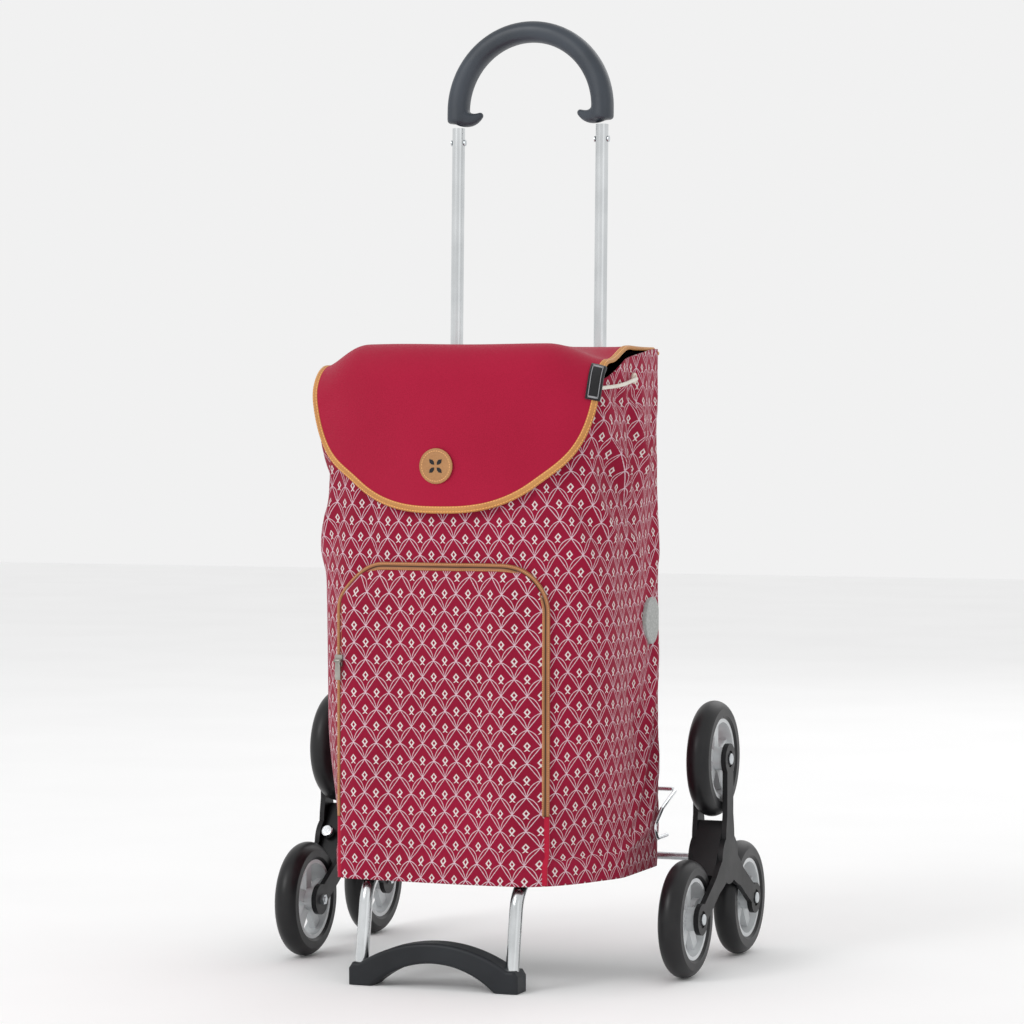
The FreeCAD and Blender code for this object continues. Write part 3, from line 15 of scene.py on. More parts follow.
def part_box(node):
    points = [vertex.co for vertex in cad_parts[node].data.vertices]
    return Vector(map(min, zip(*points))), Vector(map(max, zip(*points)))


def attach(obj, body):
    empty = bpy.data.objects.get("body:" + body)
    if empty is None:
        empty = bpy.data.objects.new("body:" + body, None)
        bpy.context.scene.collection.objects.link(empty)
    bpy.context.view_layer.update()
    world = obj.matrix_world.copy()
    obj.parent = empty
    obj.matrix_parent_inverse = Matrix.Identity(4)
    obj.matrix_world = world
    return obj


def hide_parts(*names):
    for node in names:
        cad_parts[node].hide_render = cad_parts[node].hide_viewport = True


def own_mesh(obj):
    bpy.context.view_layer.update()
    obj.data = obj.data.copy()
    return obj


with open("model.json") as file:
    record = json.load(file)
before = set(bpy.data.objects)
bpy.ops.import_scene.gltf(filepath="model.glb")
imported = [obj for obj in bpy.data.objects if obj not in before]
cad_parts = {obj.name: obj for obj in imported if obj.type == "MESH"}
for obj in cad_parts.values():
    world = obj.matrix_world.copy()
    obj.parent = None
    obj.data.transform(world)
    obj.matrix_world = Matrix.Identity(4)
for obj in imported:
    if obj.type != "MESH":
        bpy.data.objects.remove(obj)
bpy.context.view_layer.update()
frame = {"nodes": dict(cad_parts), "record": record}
nodes = frame["nodes"]

# ---------------- sizes, in millimetres
axle_low, axle_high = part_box("axle")
AXLE_Y = (axle_low[1] + axle_high[1]) / 2

BAG_HALF_WIDTH = 163
BAG_FRONT = -228
BAG_BACK = -12
BAG_TOP = 648
MOUTH_FRONT = 645
MOUTH_REAR = 661
MOUTH_DIP = 18
HEM = 107
BAG_FLOOR = 119.4
FRONT_CORNER = 78
BACK_CORNER = 12
BOTTOM_BOW = 11

POCKET_HALF_WIDTH = 115
POCKET_TOP = 438
POCKET_CORNER = 50
ZIP_WIDTH = 8.5
ZIP_LEFT_END = 171
ZIP_RIGHT_END = 177
ZIP_LINE = -239.2
GUSSET_TOP = 425

LID_HALF_WIDTH = 161
LID_REAR = -14.5
LID_FRONT = -240
LID_TOP = 664.5
LID_CLEARANCE = 9
LID_ROUND = 38
LID_PLAN_RADIUS = 340
LID_LOW = 490
LID_CORNER_LOW = 642
LID_LEFT_DROP = 22
LID_RIGHT_DROP = 17
LID_REAR_DROP = 4.5
LID_THICKNESS = 2.2
BINDING = 6.5

REFLECTOR_RADIUS = 25.5
REFLECTOR_Y = -42
REFLECTOR_Z = 372
EYELET_Y = -97
EYELET_Z = 629

LATTICE_WIDTH = 25
LATTICE_HEIGHT = 34.6
ARC_RISE = 0.165
LINE_HALF = 0.36


def place(points):
    """Points in millimetres from the axle line, as metres in the frame."""
    moved = np.asarray(points, float) / 1000
    moved[..., 1] += AXLE_Y
    return moved


def add_object(name, data):
    """A new object in the scene."""
    item = bpy.data.objects.new(name, data)
    bpy.context.collection.objects.link(item)
    return item


def evaluated_mesh(item):
    """A copy of the mesh that the object's curve or modifiers make."""
    bpy.context.view_layer.update()
    return bpy.data.meshes.new_from_object(item.evaluated_get(bpy.context.evaluated_depsgraph_get()))


# ---------------- camera
def make_camera():
    """The photograph's view: a long lens a little below eye height, from the front left."""
    azimuth = math.radians(21.303)
    pitch = math.radians(-1.566)
    level = math.cos(pitch)
    data = bpy.data.cameras.new("camera")
    data.sensor_width = 36
    data.lens = 126.16
    camera = add_object("camera", data)
    camera.location = (1.4124, -3.6022, 0.5917)
    ahead = Vector((-math.sin(azimuth) * level, math.cos(azimuth) * level, math.sin(pitch)))
    camera.rotation_euler = ahead.to_track_quat("-Z", "Y").to_euler()
    bpy.context.scene.camera = camera


make_camera()


# ---------------- mesh helpers
def new_mesh(name, points, faces, uvs=None, smooth=True):
    """A mesh object from points in millimetres; uvs holds one pair for each point."""
    mesh = bpy.data.meshes.new(name)
    mesh.from_pydata(place(points).tolist(), [], faces)
    if uvs is not None:
        layer = mesh.uv_layers.new(name="cloth")
        corner_points = np.zeros(len(mesh.loops), int)
        mesh.loops.foreach_get("vertex_index", corner_points)
        layer.data.foreach_set("uv", np.asarray(uvs, float)[corner_points].ravel())
    mesh.polygons.foreach_set("use_smooth", [smooth] * len(mesh.polygons))
    mesh.update()
    return add_object(name, mesh)


def grid_faces(rows, columns, wrap=False):
    faces = []
    for row in range(rows - 1):
        for column in range(columns - (0 if wrap else 1)):
            after = (column + 1) % columns
            faces.append((row * columns + column, row * columns + after,
                          (row + 1) * columns + after, (row + 1) * columns + column))
    return faces


def grid(name, points, uvs, flip=False):
    """An open sheet from a rows by columns array of points."""
    rows, columns = points.shape[:2]
    faces = grid_faces(rows, columns)
    if flip:
        faces = [face[::-1] for face in faces]
    return new_mesh(name, points.reshape(-1, 3), faces, uvs.reshape(-1, 2))


def apply_modifiers(piece):
    """Keeps the mesh that the piece's modifiers make, and removes them."""
    mesh = evaluated_mesh(piece)
    piece.modifiers.clear()
    piece.data = mesh


def thicken(piece, thickness, offset=-1, inner_slot=0):
    """Gives a sheet its cloth's thickness."""
    solid = piece.modifiers.new("thickness", "SOLIDIFY")
    solid.thickness = thickness / 1000
    solid.offset = offset
    solid.material_offset = inner_slot
    solid.material_offset_rim = 0


def smoother(piece, levels=1):
    piece.modifiers.new("smoother", "SUBSURF").levels = levels
    piece.modifiers["smoother"].render_levels = levels


def ease(value):
    """0 to 1 with level ends."""
    value = np.clip(value, 0, 1)
    return value * value * (3 - 2 * value)


def ring_faces(rings, spin, first=0):
    """The faces between rings of points that lie one round the other."""
    faces = []
    for ring in range(rings - 1):
        base, after = first + ring * spin, first + (ring + 1) * spin
        faces += [(base + i, after + i, after + (i + 1) % spin, base + (i + 1) % spin) for i in range(spin)]
    return faces


def fan_faces(rings, spin):
    """The faces of a disc: a fan round point 0, and the rings outside it."""
    return [(0, 1 + i, 1 + (i + 1) % spin) for i in range(spin)] + ring_faces(rings, spin, 1)


def unit(vectors):
    return vectors / np.maximum(np.linalg.norm(vectors, axis=-1, keepdims=True), 1e-9)


def sweep(name, centres, sides, ups, outline, closed=False):
    """A band or tube: outline holds (along side, along up) pairs, carried along the centres."""
    centres, sides, ups = (np.asarray(item, float) for item in (centres, sides, ups))
    outline = np.asarray(outline, float)
    rings = (centres[:, None] + sides[:, None] * outline[None, :, :1] + ups[:, None] * outline[None, :, 1:])
    run = np.concatenate([[0], np.cumsum(np.linalg.norm(np.diff(centres, axis=0), axis=1))])
    rows, columns = rings.shape[:2]
    faces = grid_faces(rows, columns, wrap=True)
    if closed:
        last = (rows - 1) * columns
        faces += [(last + i, last + (i + 1) % columns, (i + 1) % columns, i) for i in range(columns)]
    else:
        faces.append(tuple(range(columns))[::-1])
        faces.append(tuple((rows - 1) * columns + i for i in range(columns)))
    uvs = np.stack([np.repeat(run[:, None], columns, 1), np.repeat(outline[None, :, 0], rows, 0)], -1)
    return new_mesh(name, rings.reshape(-1, 3), faces, uvs.reshape(-1, 2))


# ---------------- material helpers
class Term:
    """A value in a material's node tree that can be added, multiplied and compared."""

    def __init__(self, tree, socket):
        self.tree, self.socket = tree, socket

    def op(self, operation, *others, clamp=False):
        node = self.tree.nodes.new("ShaderNodeMath")
        node.operation = operation
        node.use_clamp = clamp
        for index, item in enumerate((self,) + others):
            if isinstance(item, Term):
                self.tree.links.new(item.socket, node.inputs[index])
            else:
                node.inputs[index].default_value = item
        return Term(self.tree, node.outputs[0])

    def __add__(self, other):
        return self.op("ADD", other)

    def __sub__(self, other):
        return self.op("SUBTRACT", other)

    def __mul__(self, other):
        return self.op("MULTIPLY", other)

    def __truediv__(self, other):
        return self.op("DIVIDE", other)

    def fraction(self):
        return self.op("FRACT")

    def size(self):
        return self.op("ABSOLUTE")

    def least(self, other):
        return self.op("MINIMUM", other)

    def most(self, other):
        return self.op("MAXIMUM", other)

    def below(self, limit, soft):
        """1 where the value is under limit and 0 over it, with a soft edge."""
        return ((self - limit) / -soft + 0.5).op("ADD", 0.0, clamp=True)


class Look:
    """A material with its Principled shader, and the nodes that feed it."""

    def __init__(self, name, roughness=0.5, metallic=0.0):
        self.material = bpy.data.materials.new(name)
        self.material.use_nodes = True
        self.tree = self.material.node_tree
        self.shader = self.tree.nodes["Principled BSDF"]
        self.shader.inputs["Roughness"].default_value = roughness
        self.shader.inputs["Metallic"].default_value = metallic

    def set(self, **values):
        for name, value in values.items():
            self.shader.inputs[name.replace("_", " ")].default_value = value

    def link(self, term, name):
        self.tree.links.new(term.socket, self.shader.inputs[name])

    def node(self, kind, **inputs):
        """A node of that kind, with a Term or a plain value for each input that is named."""
        node = self.tree.nodes.new(f"ShaderNode{kind}")
        for name, value in inputs.items():
            if isinstance(value, Term):
                self.tree.links.new(value.socket, node.inputs[name])
            else:
                node.inputs[name].default_value = value
        return node

    def term(self, node, output=0):
        return Term(self.tree, node.outputs[output])

    def coordinates(self):
        return self.term(self.node("TexCoord"), "Object")

    def cloth(self):
        """The two lengths along the cloth, in millimetres, and both as one vector."""
        layer = self.node("UVMap")
        layer.uv_map = "cloth"
        where = self.term(layer)
        split = self.node("SeparateXYZ", Vector=where)
        return self.term(split, 0), self.term(split, 1), where

    def noise(self, scale, detail=3, where=None, stretch=None, roughness=0.5):
        place_at = where or self.coordinates()
        if stretch:
            place_at = self.term(self.node("Mapping", Scale=stretch, Vector=place_at))
        node = self.node("TexNoise", Scale=scale, Detail=detail, Roughness=roughness, Vector=place_at)
        return self.term(node, "Fac")

    def ramp(self, term, *stops):
        """A colour or grey that follows the term through (place, colour) stops."""
        node = self.node("ValToRGB", Fac=term)
        ends = node.color_ramp.elements
        while len(ends) < len(stops):
            ends.new(0.5)
        for element, (position, colour) in zip(ends, stops):
            element.position = position
            element.color = (*colour, 1) if len(colour) == 3 else colour
        return self.term(node, "Color")

    def mix(self, factor, first, second):
        node = self.tree.nodes.new("ShaderNodeMix")
        node.data_type = "RGBA"
        self.tree.links.new(factor.socket, node.inputs["Factor"])
        for socket, item in ((node.inputs[6], first), (node.inputs[7], second)):
            if isinstance(item, Term):
                self.tree.links.new(item.socket, socket)
            else:
                socket.default_value = (*item, 1)
        return self.term(node, 2)

    def bump(self, height, millimetres, strength=1.0):
        node = self.node("Bump", Distance=millimetres / 1000, Strength=strength, Height=height)
        self.link(self.term(node), "Normal")


def weave(across, up, thread):
    """The height of a plain weave: threads over and under each other."""
    over = (across * (math.pi / thread)).op("SINE")
    under = (up * (math.pi / thread)).op("SINE")
    return over * under * 0.5 + 0.5


# ---------------- materials
def plastic(name, dark, light, roughness, grain, depth, scale=900, specular=0.3):
    """A moulded plastic: fine grain, a slight change of tone and uneven gloss."""
    look = Look(name, roughness)
    look.set(Specular_IOR_Level=specular)
    tone = look.noise(14, 4)
    look.link(look.ramp(tone, (0.3, dark), (0.7, light)), "Base Color")
    fine = look.noise(scale, 2)
    gloss = look.noise(40, 5)
    look.link(gloss * 0.2 + (roughness - 0.1), "Roughness")
    look.bump(fine * grain + gloss * (1 - grain), depth, 0.6)
    return look.material


def metal(name, dark, light, roughness, stretch, depth=0.03, scale=120):
    """A drawn or plated metal with faint streaks along its length."""
    look = Look(name, roughness, 1.0)
    streaks = look.noise(scale, 4, stretch=stretch)
    spots = look.noise(26, 5)
    look.link(look.ramp(spots * 0.5 + streaks * 0.5, (0.3, dark), (0.7, light)), "Base Color")
    look.link(streaks * 0.18 + spots * 0.1 + (roughness - 0.12), "Roughness")
    look.bump(streaks, depth, 0.5)
    return look.material


def rubber():
    """Tyre rubber: soft sheen, fine moulding rings and a little dust in the low places."""
    look = Look("tyre_rubber", 0.42)
    look.set(Specular_IOR_Level=0.35)
    dust = look.noise(30, 5)
    look.link(look.ramp(dust, (0.35, (0.005, 0.005, 0.006)), (0.8, (0.016, 0.016, 0.017))), "Base Color")
    look.link(dust * 0.25 + 0.27, "Roughness")
    look.bump(look.noise(500, 3) * 0.5 + dust * 0.5, 0.15, 0.5)
    return look.material


def crossing_threads(look, where, scale, fine, coarse):
    """Noise drawn out along the cloth and across it."""
    return (look.noise(scale, 3, where, (fine, coarse, 1)) * 0.5
            + look.noise(scale, 3, where, (coarse, fine, 1)) * 0.5)


def printed_fabric():
    """Crimson weave with a printed trellis of grey lines and a small flower in each opening."""
    look = Look("printed_fabric", 0.72)
    across, up, where = look.cloth()
    first = (across / LATTICE_WIDTH + up / LATTICE_HEIGHT).fraction()
    second = (across / LATTICE_WIDTH - up / LATTICE_HEIGHT).fraction()
    spacing = LATTICE_WIDTH * LATTICE_HEIGHT / math.hypot(LATTICE_WIDTH, LATTICE_HEIGHT)
    straight = ((first - 0.5).size() * -1 + 0.5).least((second - 0.5).size() * -1 + 0.5)
    arc_over = (second - 1 + first * (first * -1 + 1) * (4 * ARC_RISE)).size()
    arc_beside = (first - second * (second * -1 + 1) * (4 * ARC_RISE)).size()
    uneven = look.noise(0.45, 2, where)
    nearest = straight.least(arc_over).least(arc_beside) * spacing
    line = (nearest + (uneven - 0.5) * 0.5).below(LINE_HALF, 0.35)
    flower_across = (first + second - 1) * (LATTICE_WIDTH / 2)
    flower_up = (first - second) * (LATTICE_HEIGHT / 2)
    petal = (flower_across.size() / 3.3 + (flower_up - 1).size() / 4.1).below(1, 0.16)
    eye = (flower_across.size() / 1.6 + (flower_up - 1.2).size() / 2.3).below(1, 0.3)
    feet = (flower_across.size() + flower_up + 2.4).size().below(0.7, 0.4)
    reach = (flower_up + 3.3).size().below(1.3, 0.3)
    flower = (petal * (eye * -1 + 1)).most(feet * reach)
    threads = crossing_threads(look, where, 1.1, 0.25, 3.2)
    patches = look.noise(9, 4)
    ground = look.ramp(threads * 0.6 + patches * 0.4,
                       (0.32, (0.205, 0.0028, 0.020)), (0.68, (0.34, 0.005, 0.040)))
    grey = look.ramp(threads, (0.3, (0.53, 0.38, 0.43)), (0.7, (0.77, 0.61, 0.67)))
    white = look.ramp(threads, (0.3, (0.62, 0.55, 0.55)), (0.7, (0.80, 0.74, 0.73)))
    look.link(look.mix(flower, look.mix(line, ground, grey), white), "Base Color")
    look.link(threads * 0.16 + 0.62, "Roughness")
    look.set(Sheen_Weight=0.06, Sheen_Roughness=0.5, Specular_IOR_Level=0.15)
    look.bump(weave(across, up, 0.8) * 0.5 + threads * 0.5, 0.22, 0.7)
    return look.material


def plain_fabric(name, dark, light, thread=0.9, sheen=0.3):
    """A plain woven cloth with visible threads and slight fading."""
    look = Look(name, 0.75)
    across, up, where = look.cloth()
    threads = crossing_threads(look, where, 1.0, 0.2, 3.0)
    patches = look.noise(7, 4)
    look.link(look.ramp(threads * 0.55 + patches * 0.45, (0.32, dark), (0.68, light)), "Base Color")
    look.link(threads * 0.16 + 0.66, "Roughness")
    look.set(Sheen_Weight=sheen, Sheen_Roughness=0.45, Specular_IOR_Level=0.15)
    look.bump(weave(across, up, thread) * 0.6 + threads * 0.4, 0.25, 0.7)
    return look.material


def leather(name, dark, light, stitch_at, stitch_pitch=3.2, groove=None):
    """Tan imitation leather with a row of stitches along it and grain in its surface."""
    look = Look(name, 0.5)
    along, across, _ = look.cloth()
    grain = look.noise(420, 4, roughness=0.7)
    patches = look.noise(18, 4)
    base = look.ramp(grain * 0.4 + patches * 0.6, (0.3, dark), (0.7, light))
    row = (across.size() - stitch_at).size().below(0.45, 0.25)
    dash = ((along / stitch_pitch).fraction() - 0.5).size().below(0.36, 0.1)
    stitches = row * dash
    height = grain * 0.35 + stitches * 0.6
    if groove is not None:
        valley = across.size().below(groove, 0.3)
        base = look.mix(valley, base, tuple(value * 0.25 for value in dark))
        height = height - valley * 0.8
    look.link(look.mix(stitches, base, tuple(min(value * 1.5, 1) for value in light)), "Base Color")
    look.link(grain * 0.2 + 0.42, "Roughness")
    look.bump(height, 0.35, 0.8)
    return look.material


def webbing(name, dark, light):
    """Coarse woven tape."""
    look = Look(name, 0.8)
    where = look.coordinates()
    ribs = look.noise(260, 2, where, (1, 1, 4))
    look.link(look.ramp(ribs, (0.35, dark), (0.7, light)), "Base Color")
    look.bump(ribs, 0.4, 0.8)
    return look.material


def cord_look():
    """Braided white cord."""
    look = Look("white_cord", 0.7)
    fibres = look.noise(700, 3, stretch=(1, 1, 1))
    soil = look.noise(60, 3)
    colour = look.ramp(fibres * 0.6 + soil * 0.4, (0.3, (0.62, 0.58, 0.50)), (0.7, (0.86, 0.83, 0.76)))
    look.link(colour, "Base Color")
    look.bump(fibres, 0.3, 0.8)
    return look.material


def reflective():
    """Grey reflective film with its fine honeycomb."""
    look = Look("reflector_grey", 0.42)
    cell = look.term(look.node("TexVoronoi", Scale=380, Vector=look.coordinates()), "Distance")
    look.link(look.ramp(cell, (0.1, (0.40, 0.41, 0.40)), (0.6, (0.30, 0.31, 0.30))), "Base Color")
    look.link(cell * 0.3 + 0.3, "Roughness")
    look.bump(cell, 0.1, 0.6)
    return look.material


# each material has its darker and its lighter colour first, then the rest in its maker's order
METALS = {
    "zinc_tube": ((0.54, 0.56, 0.57), (0.76, 0.78, 0.79), 0.20, (1, 1, 0.04)),
    "axle_steel": ((0.50, 0.52, 0.54), (0.74, 0.76, 0.78), 0.25, (0.05, 1, 1)),
    "bright_wire": ((0.62, 0.64, 0.66), (0.86, 0.88, 0.90), 0.16, (1, 1, 1)),
    "zinc_fastener": ((0.42, 0.45, 0.47), (0.70, 0.73, 0.75), 0.30, (1, 1, 1)),
    "chrome_button": ((0.66, 0.68, 0.70), (0.88, 0.90, 0.92), 0.12, (1, 1, 1)),
    "spring_steel": ((0.40, 0.42, 0.44), (0.62, 0.64, 0.66), 0.35, (1, 1, 1)),
    "zip_metal": ((0.20, 0.19, 0.17), (0.46, 0.44, 0.40), 0.34, (1, 1, 1)),
}
PLASTICS = {
    "black_moulding": ((0.009, 0.010, 0.012), (0.020, 0.023, 0.027), 0.48, 0.6, 0.12),
    "black_casting": ((0.005, 0.005, 0.006), (0.013, 0.013, 0.014), 0.46, 0.8, 0.22, 620),
    "bush_nylon": ((0.02, 0.02, 0.02), (0.05, 0.05, 0.05), 0.4, 0.5, 0.1),
    "grip_plastic": ((0.022, 0.029, 0.039), (0.042, 0.053, 0.069), 0.44, 0.6, 0.12, 900, 0.5),
    "rim_plastic": ((0.50, 0.52, 0.53), (0.68, 0.70, 0.71), 0.36, 0.5, 0.10),
    "base_board": ((0.02, 0.02, 0.022), (0.05, 0.05, 0.055), 0.7, 0.7, 0.3),
    "cream_eyelet": ((0.62, 0.56, 0.46), (0.80, 0.74, 0.64), 0.35, 0.4, 0.08),
}
FABRICS = {
    "lining": ((0.012, 0.004, 0.006), (0.035, 0.010, 0.014), 0.9, 0.05),
    "plain_fabric": ((0.31, 0.005, 0.028), (0.42, 0.009, 0.045), 0.9, 0.10),
    "red_tape": ((0.36, 0.006, 0.030), (0.48, 0.012, 0.045)),
    "label_thread": ((0.22, 0.22, 0.23), (0.38, 0.38, 0.40), 0.6),
    "black_label": ((0.010, 0.010, 0.011), (0.030, 0.030, 0.032), 0.6),
}
LEATHERS = {
    "tan_binding": ((0.40, 0.165, 0.035), (0.58, 0.27, 0.075), 2.3),
    "zip_tape": ((0.26, 0.10, 0.035), (0.40, 0.17, 0.065), 2.9, 2.0, 0.7),
    "tan_leather": ((0.34, 0.15, 0.05), (0.48, 0.24, 0.09), 15.6),
}

LOOKS = {name: metal(name, *values) for name, values in METALS.items()}
LOOKS.update({name: plastic(name, *values) for name, values in PLASTICS.items()})
LOOKS.update({name: plain_fabric(name, *values) for name, values in FABRICS.items()})
LOOKS.update({name: leather(name, *values) for name, values in LEATHERS.items()})
LOOKS.update({
    "tyre_rubber": rubber(),
    "printed_fabric": printed_fabric(),
    "black_webbing": webbing("black_webbing", (0.008, 0.008, 0.009), (0.03, 0.03, 0.032)),
    "white_cord": cord_look(),
    "reflector_grey": reflective(),
})


def finish_with(piece, slot, look=None):
    """Gives a new piece its material: the look if one is given, and the slot's own otherwise."""
    piece.data.materials.clear()
    piece.data.materials.append(LOOKS[look or slot])
    return piece


for entry in frame["record"]["subparts"]:
    node = nodes[entry["node"]]
    look = LOOKS[entry["material_slot"]]
    if not node.material_slots:
        node.data.materials.append(look)
    for slot in node.material_slots:
        slot.material = look


# ---------------- the drawstring
CORD_HALF = [(157, -97, 629), (167.2, -97, 629), (166.2, -110, 627), (166.1, -133, 623), (165.4, -162, 620),
             (156, -190, 618), (132, -201, 616.5), (100, -209, 615.5), (55, -219, 614), (20, -222.5, 613.4)]
CORD_DIAMETER = 4


def make_drawstring():
    """The drawstring, from the right eyelet round the mouth's front to the left one."""
    route = place(CORD_HALF + [(-x, y, z) for x, y, z in CORD_HALF[::-1]])
    data = bpy.data.curves.new("drawstring_line", "CURVE")
    data.dimensions = "3D"
    data.resolution_u = 12
    spline = data.splines.new("NURBS")
    spline.points.add(len(route) - 1)
    for point, spot in zip(spline.points, route):
        point.co = (*spot, 1)
    spline.use_endpoint_u = True
    spline.order_u = 3
    line = add_object("drawstring_line", data)
    path = [tuple(v.co) for v in evaluated_mesh(line).vertices]
    data.bevel_depth = CORD_DIAMETER / 2000
    data.bevel_resolution = 4
    data.use_fill_caps = True
    mesh = evaluated_mesh(line)
    bpy.data.objects.remove(line)
    return finish_with(add_object("drawstring_cord", mesh), "white_cord"), path


drawstring, drawstring_path = make_drawstring()


# ---------------- the bag's shell
# each crease has its start and end, as (distance round the plan from the middle of the front, positive to
# the right, and height), then its width and its depth
CREASES = (
    ((150, 604), (262, 498), 8, 4.2), ((162, 566), (290, 452), 10, -3.4),
    ((128, 545), (236, 436), 9, 3.2), ((205, 628), (300, 566), 7, 3.2),
    ((186, 606), (290, 612), 6, -3.0), ((238, 604), (306, 500), 8, 3.4),
    ((172, 590), (216, 574), 4, 3.0), ((170, 578), (214, 560), 4, -2.6),
    ((168, 606), (214, 590), 4, 2.8), ((110, 520), (190, 400), 13, 2.6),
    ((245, 480), (282, 405), 12, 2.6), ((230, 330), (300, 230), 16, -2.2),
    ((-150, 604), (-262, 498), 9, 4.0), ((-165, 560), (-285, 440), 10, -3.2),
    ((-130, 520), (-225, 400), 12, 3.0), ((-205, 628), (-300, 560), 7, 3.2),
    ((-240, 604), (-300, 480), 8, -3.0), ((-235, 330), (-300, 200), 15, 2.4),
)
CREASE_DEPTH = 3.0


def lid_front(x):
    """The y of the lid's front face in plan: one shallow arc."""
    return LID_FRONT + LID_PLAN_RADIUS - np.sqrt(LID_PLAN_RADIUS ** 2 - np.asarray(x, float) ** 2)


def evenly(path, count):
    """count points at equal steps along a path, and how far along each one is."""
    path = np.asarray(path, float)
    run = np.concatenate([[0], np.cumsum(np.linalg.norm(np.diff(path, axis=0), axis=1))])
    wanted = np.linspace(0, run[-1], count)
    return np.stack([np.interp(wanted, run, path[:, i]) for i in range(path.shape[1])], 1), wanted


def round_the_bag(half, count):
    """A closed plan from its right half, from the middle of the back round to the middle of the front."""
    return evenly(half + [(-x, y) for x, y in half[-2::-1]], count)


def back_half():
    turn = np.linspace(0, math.pi / 2, 16)
    corner = BACK_CORNER
    return [(0, BAG_BACK)] + [(BAG_HALF_WIDTH - corner + corner * math.sin(a),
                               BAG_BACK - corner + corner * math.cos(a)) for a in turn]


def body_plan(count):
    """The plan over most of the bag's height: a box with well rounded front corners."""
    turn = np.linspace(0, math.pi / 2, 24)
    corner = FRONT_CORNER
    half = back_half() + [(BAG_HALF_WIDTH - corner + corner * math.cos(a),
                           BAG_FRONT + corner - corner * math.sin(a)) for a in turn]
    return round_the_bag(half + [(0, BAG_FRONT)], count)


def mouth_plan(count):
    """The plan under the lid, where the cord pulls the front corners in to the lid's own curve."""
    sides = [(BAG_HALF_WIDTH - 23 * (share ** 2), -122 - 78 * share) for share in np.linspace(0, 1, 16)]
    front = [(x, float(lid_front(x)) + LID_CLEARANCE) for x in np.linspace(140, 0, 30)]
    return round_the_bag(back_half() + sides + front[1:], count)


def crease(across, height, start, end, width):
    """A smooth ridge from start to end that fades out at both ends."""
    run = np.subtract(end, start)
    length = np.hypot(*run)
    along = ((across - start[0]) * run[0] + (height - start[1]) * run[1]) / length ** 2
    away = ((across - start[0]) * -run[1] + (height - start[1]) * run[0]) / length
    return np.exp(-(away / width) ** 2) * ease(along / 0.3) * ease((1 - along) / 0.45)


def bag_points(columns, rows):
    """The hanging shape of the bag: bowed at the hem, gathered a little at the mouth."""
    plan, around = body_plan(columns)
    mouth, _ = mouth_plan(columns)
    share = np.linspace(0, 1, rows)[:, None]
    pulled = ease((HEM + share * (BAG_TOP - HEM) - 440) / 120)
    x = plan[None, :, 0] * (1 - pulled) + mouth[None, :, 0] * pulled
    y = plan[None, :, 1] * (1 - pulled) + mouth[None, :, 1] * pulled
    top = MOUTH_FRONT + (MOUTH_REAR - MOUTH_FRONT) * ease((y + 170) / 146)
    top = top - MOUTH_DIP * ease((-y - 120) / 60)
    z = HEM + share * (top - HEM)
    out = unit(np.stack([plan[:, 0] / BAG_HALF_WIDTH, (plan[:, 1] + 110) / 118 * 0.9], 1))
    frontness = ease((-y - 120) / 90)
    low = ease(1 - share / 0.32)
    y = y - frontness * BOTTOM_BOW * low * np.cos(x / BAG_HALF_WIDTH * math.pi / 2)
    corner = ease((np.abs(x) - 95) / 60) * ease((-y - 120) / 60)
    x = x * (1 - 0.07 * low * corner)
    y = y + 9 * low * corner
    belly = np.sin(share * math.pi) * 2.5
    x = x + np.sign(x) * belly * ease((np.abs(x) - 120) / 40)
    sideness = ease((np.abs(x) - 110) / 45) * ease((-y - 20) / 50)
    gather = ease((z - 520) / 120)
    across = around[None] - around[-1] / 2
    shift = sideness * gather * (np.sin(-y / 17 + z / 60) * 1.6 + np.sin(-y / 9.5 - z / 34) * 0.8)
    for start, end, width, depth in CREASES:
        shift = shift + CREASE_DEPTH * depth * crease(-across, z, start, end, width) * ease((-y - 16) / 30)
    x = x + shift * out[None, :, 0]
    y = y + shift * out[None, :, 1]
    y = y + frontness * gather * (np.sin(x / 21) * 1.4 + np.sin(x / 12 + z / 40) * 0.7)
    uvs = np.stack([np.repeat(around[None] - around[-1] / 2, rows, 0), z], -1)
    return np.stack([x, y, z], -1), uvs


def hang(piece, rows, columns, frames=26, cap=7.0):
    """Lets the bag's cloth settle between its hem and mouth, moving no point further than cap."""
    rest = np.array([v.co for v in piece.data.vertices])
    row = np.repeat(np.arange(rows), columns) / (rows - 1)
    hold = piece.vertex_groups.new(name="held")
    pinned = np.clip(np.maximum(1 - row * 14, (row - 0.955) * 22), 0, 1)
    back = ease((rest[:, 1] * 1000 - AXLE_Y * 1000 + 22) / 8)
    pinned = np.maximum(pinned, back * 0.9)
    for index, weight in enumerate(pinned):
        if weight > 0:
            hold.add([index], float(weight), "REPLACE")
    cloth = piece.modifiers.new("cloth", "CLOTH")
    settings = cloth.settings
    settings.quality = 6
    settings.mass = 0.25
    settings.tension_stiffness = 18
    settings.compression_stiffness = 12
    settings.shear_stiffness = 6
    settings.bending_stiffness = 0.6
    settings.shrink_min = -0.016
    settings.vertex_group_mass = "held"
    settings.use_pressure = True
    settings.uniform_pressure_force = 0.55
    cloth.collision_settings.use_collision = False
    cloth.point_cache.frame_end = frames
    scene = bpy.context.scene
    for number in range(1, frames + 1):
        scene.frame_set(number)
    evaluated = piece.evaluated_get(bpy.context.evaluated_depsgraph_get())
    settled = np.array([v.co for v in evaluated.data.vertices])
    scene.frame_set(1)
    piece.modifiers.clear()
    move = settled - rest
    length = np.linalg.norm(move, axis=1, keepdims=True)
    limit = cap / 1000 * np.where(back[:, None] > 0.3, 0.3, 1)
    move = move * np.tanh(length / limit) * limit / np.maximum(length, 1e-9)
    piece.data.vertices.foreach_set("co", (rest + move).ravel())
    piece.data.update()


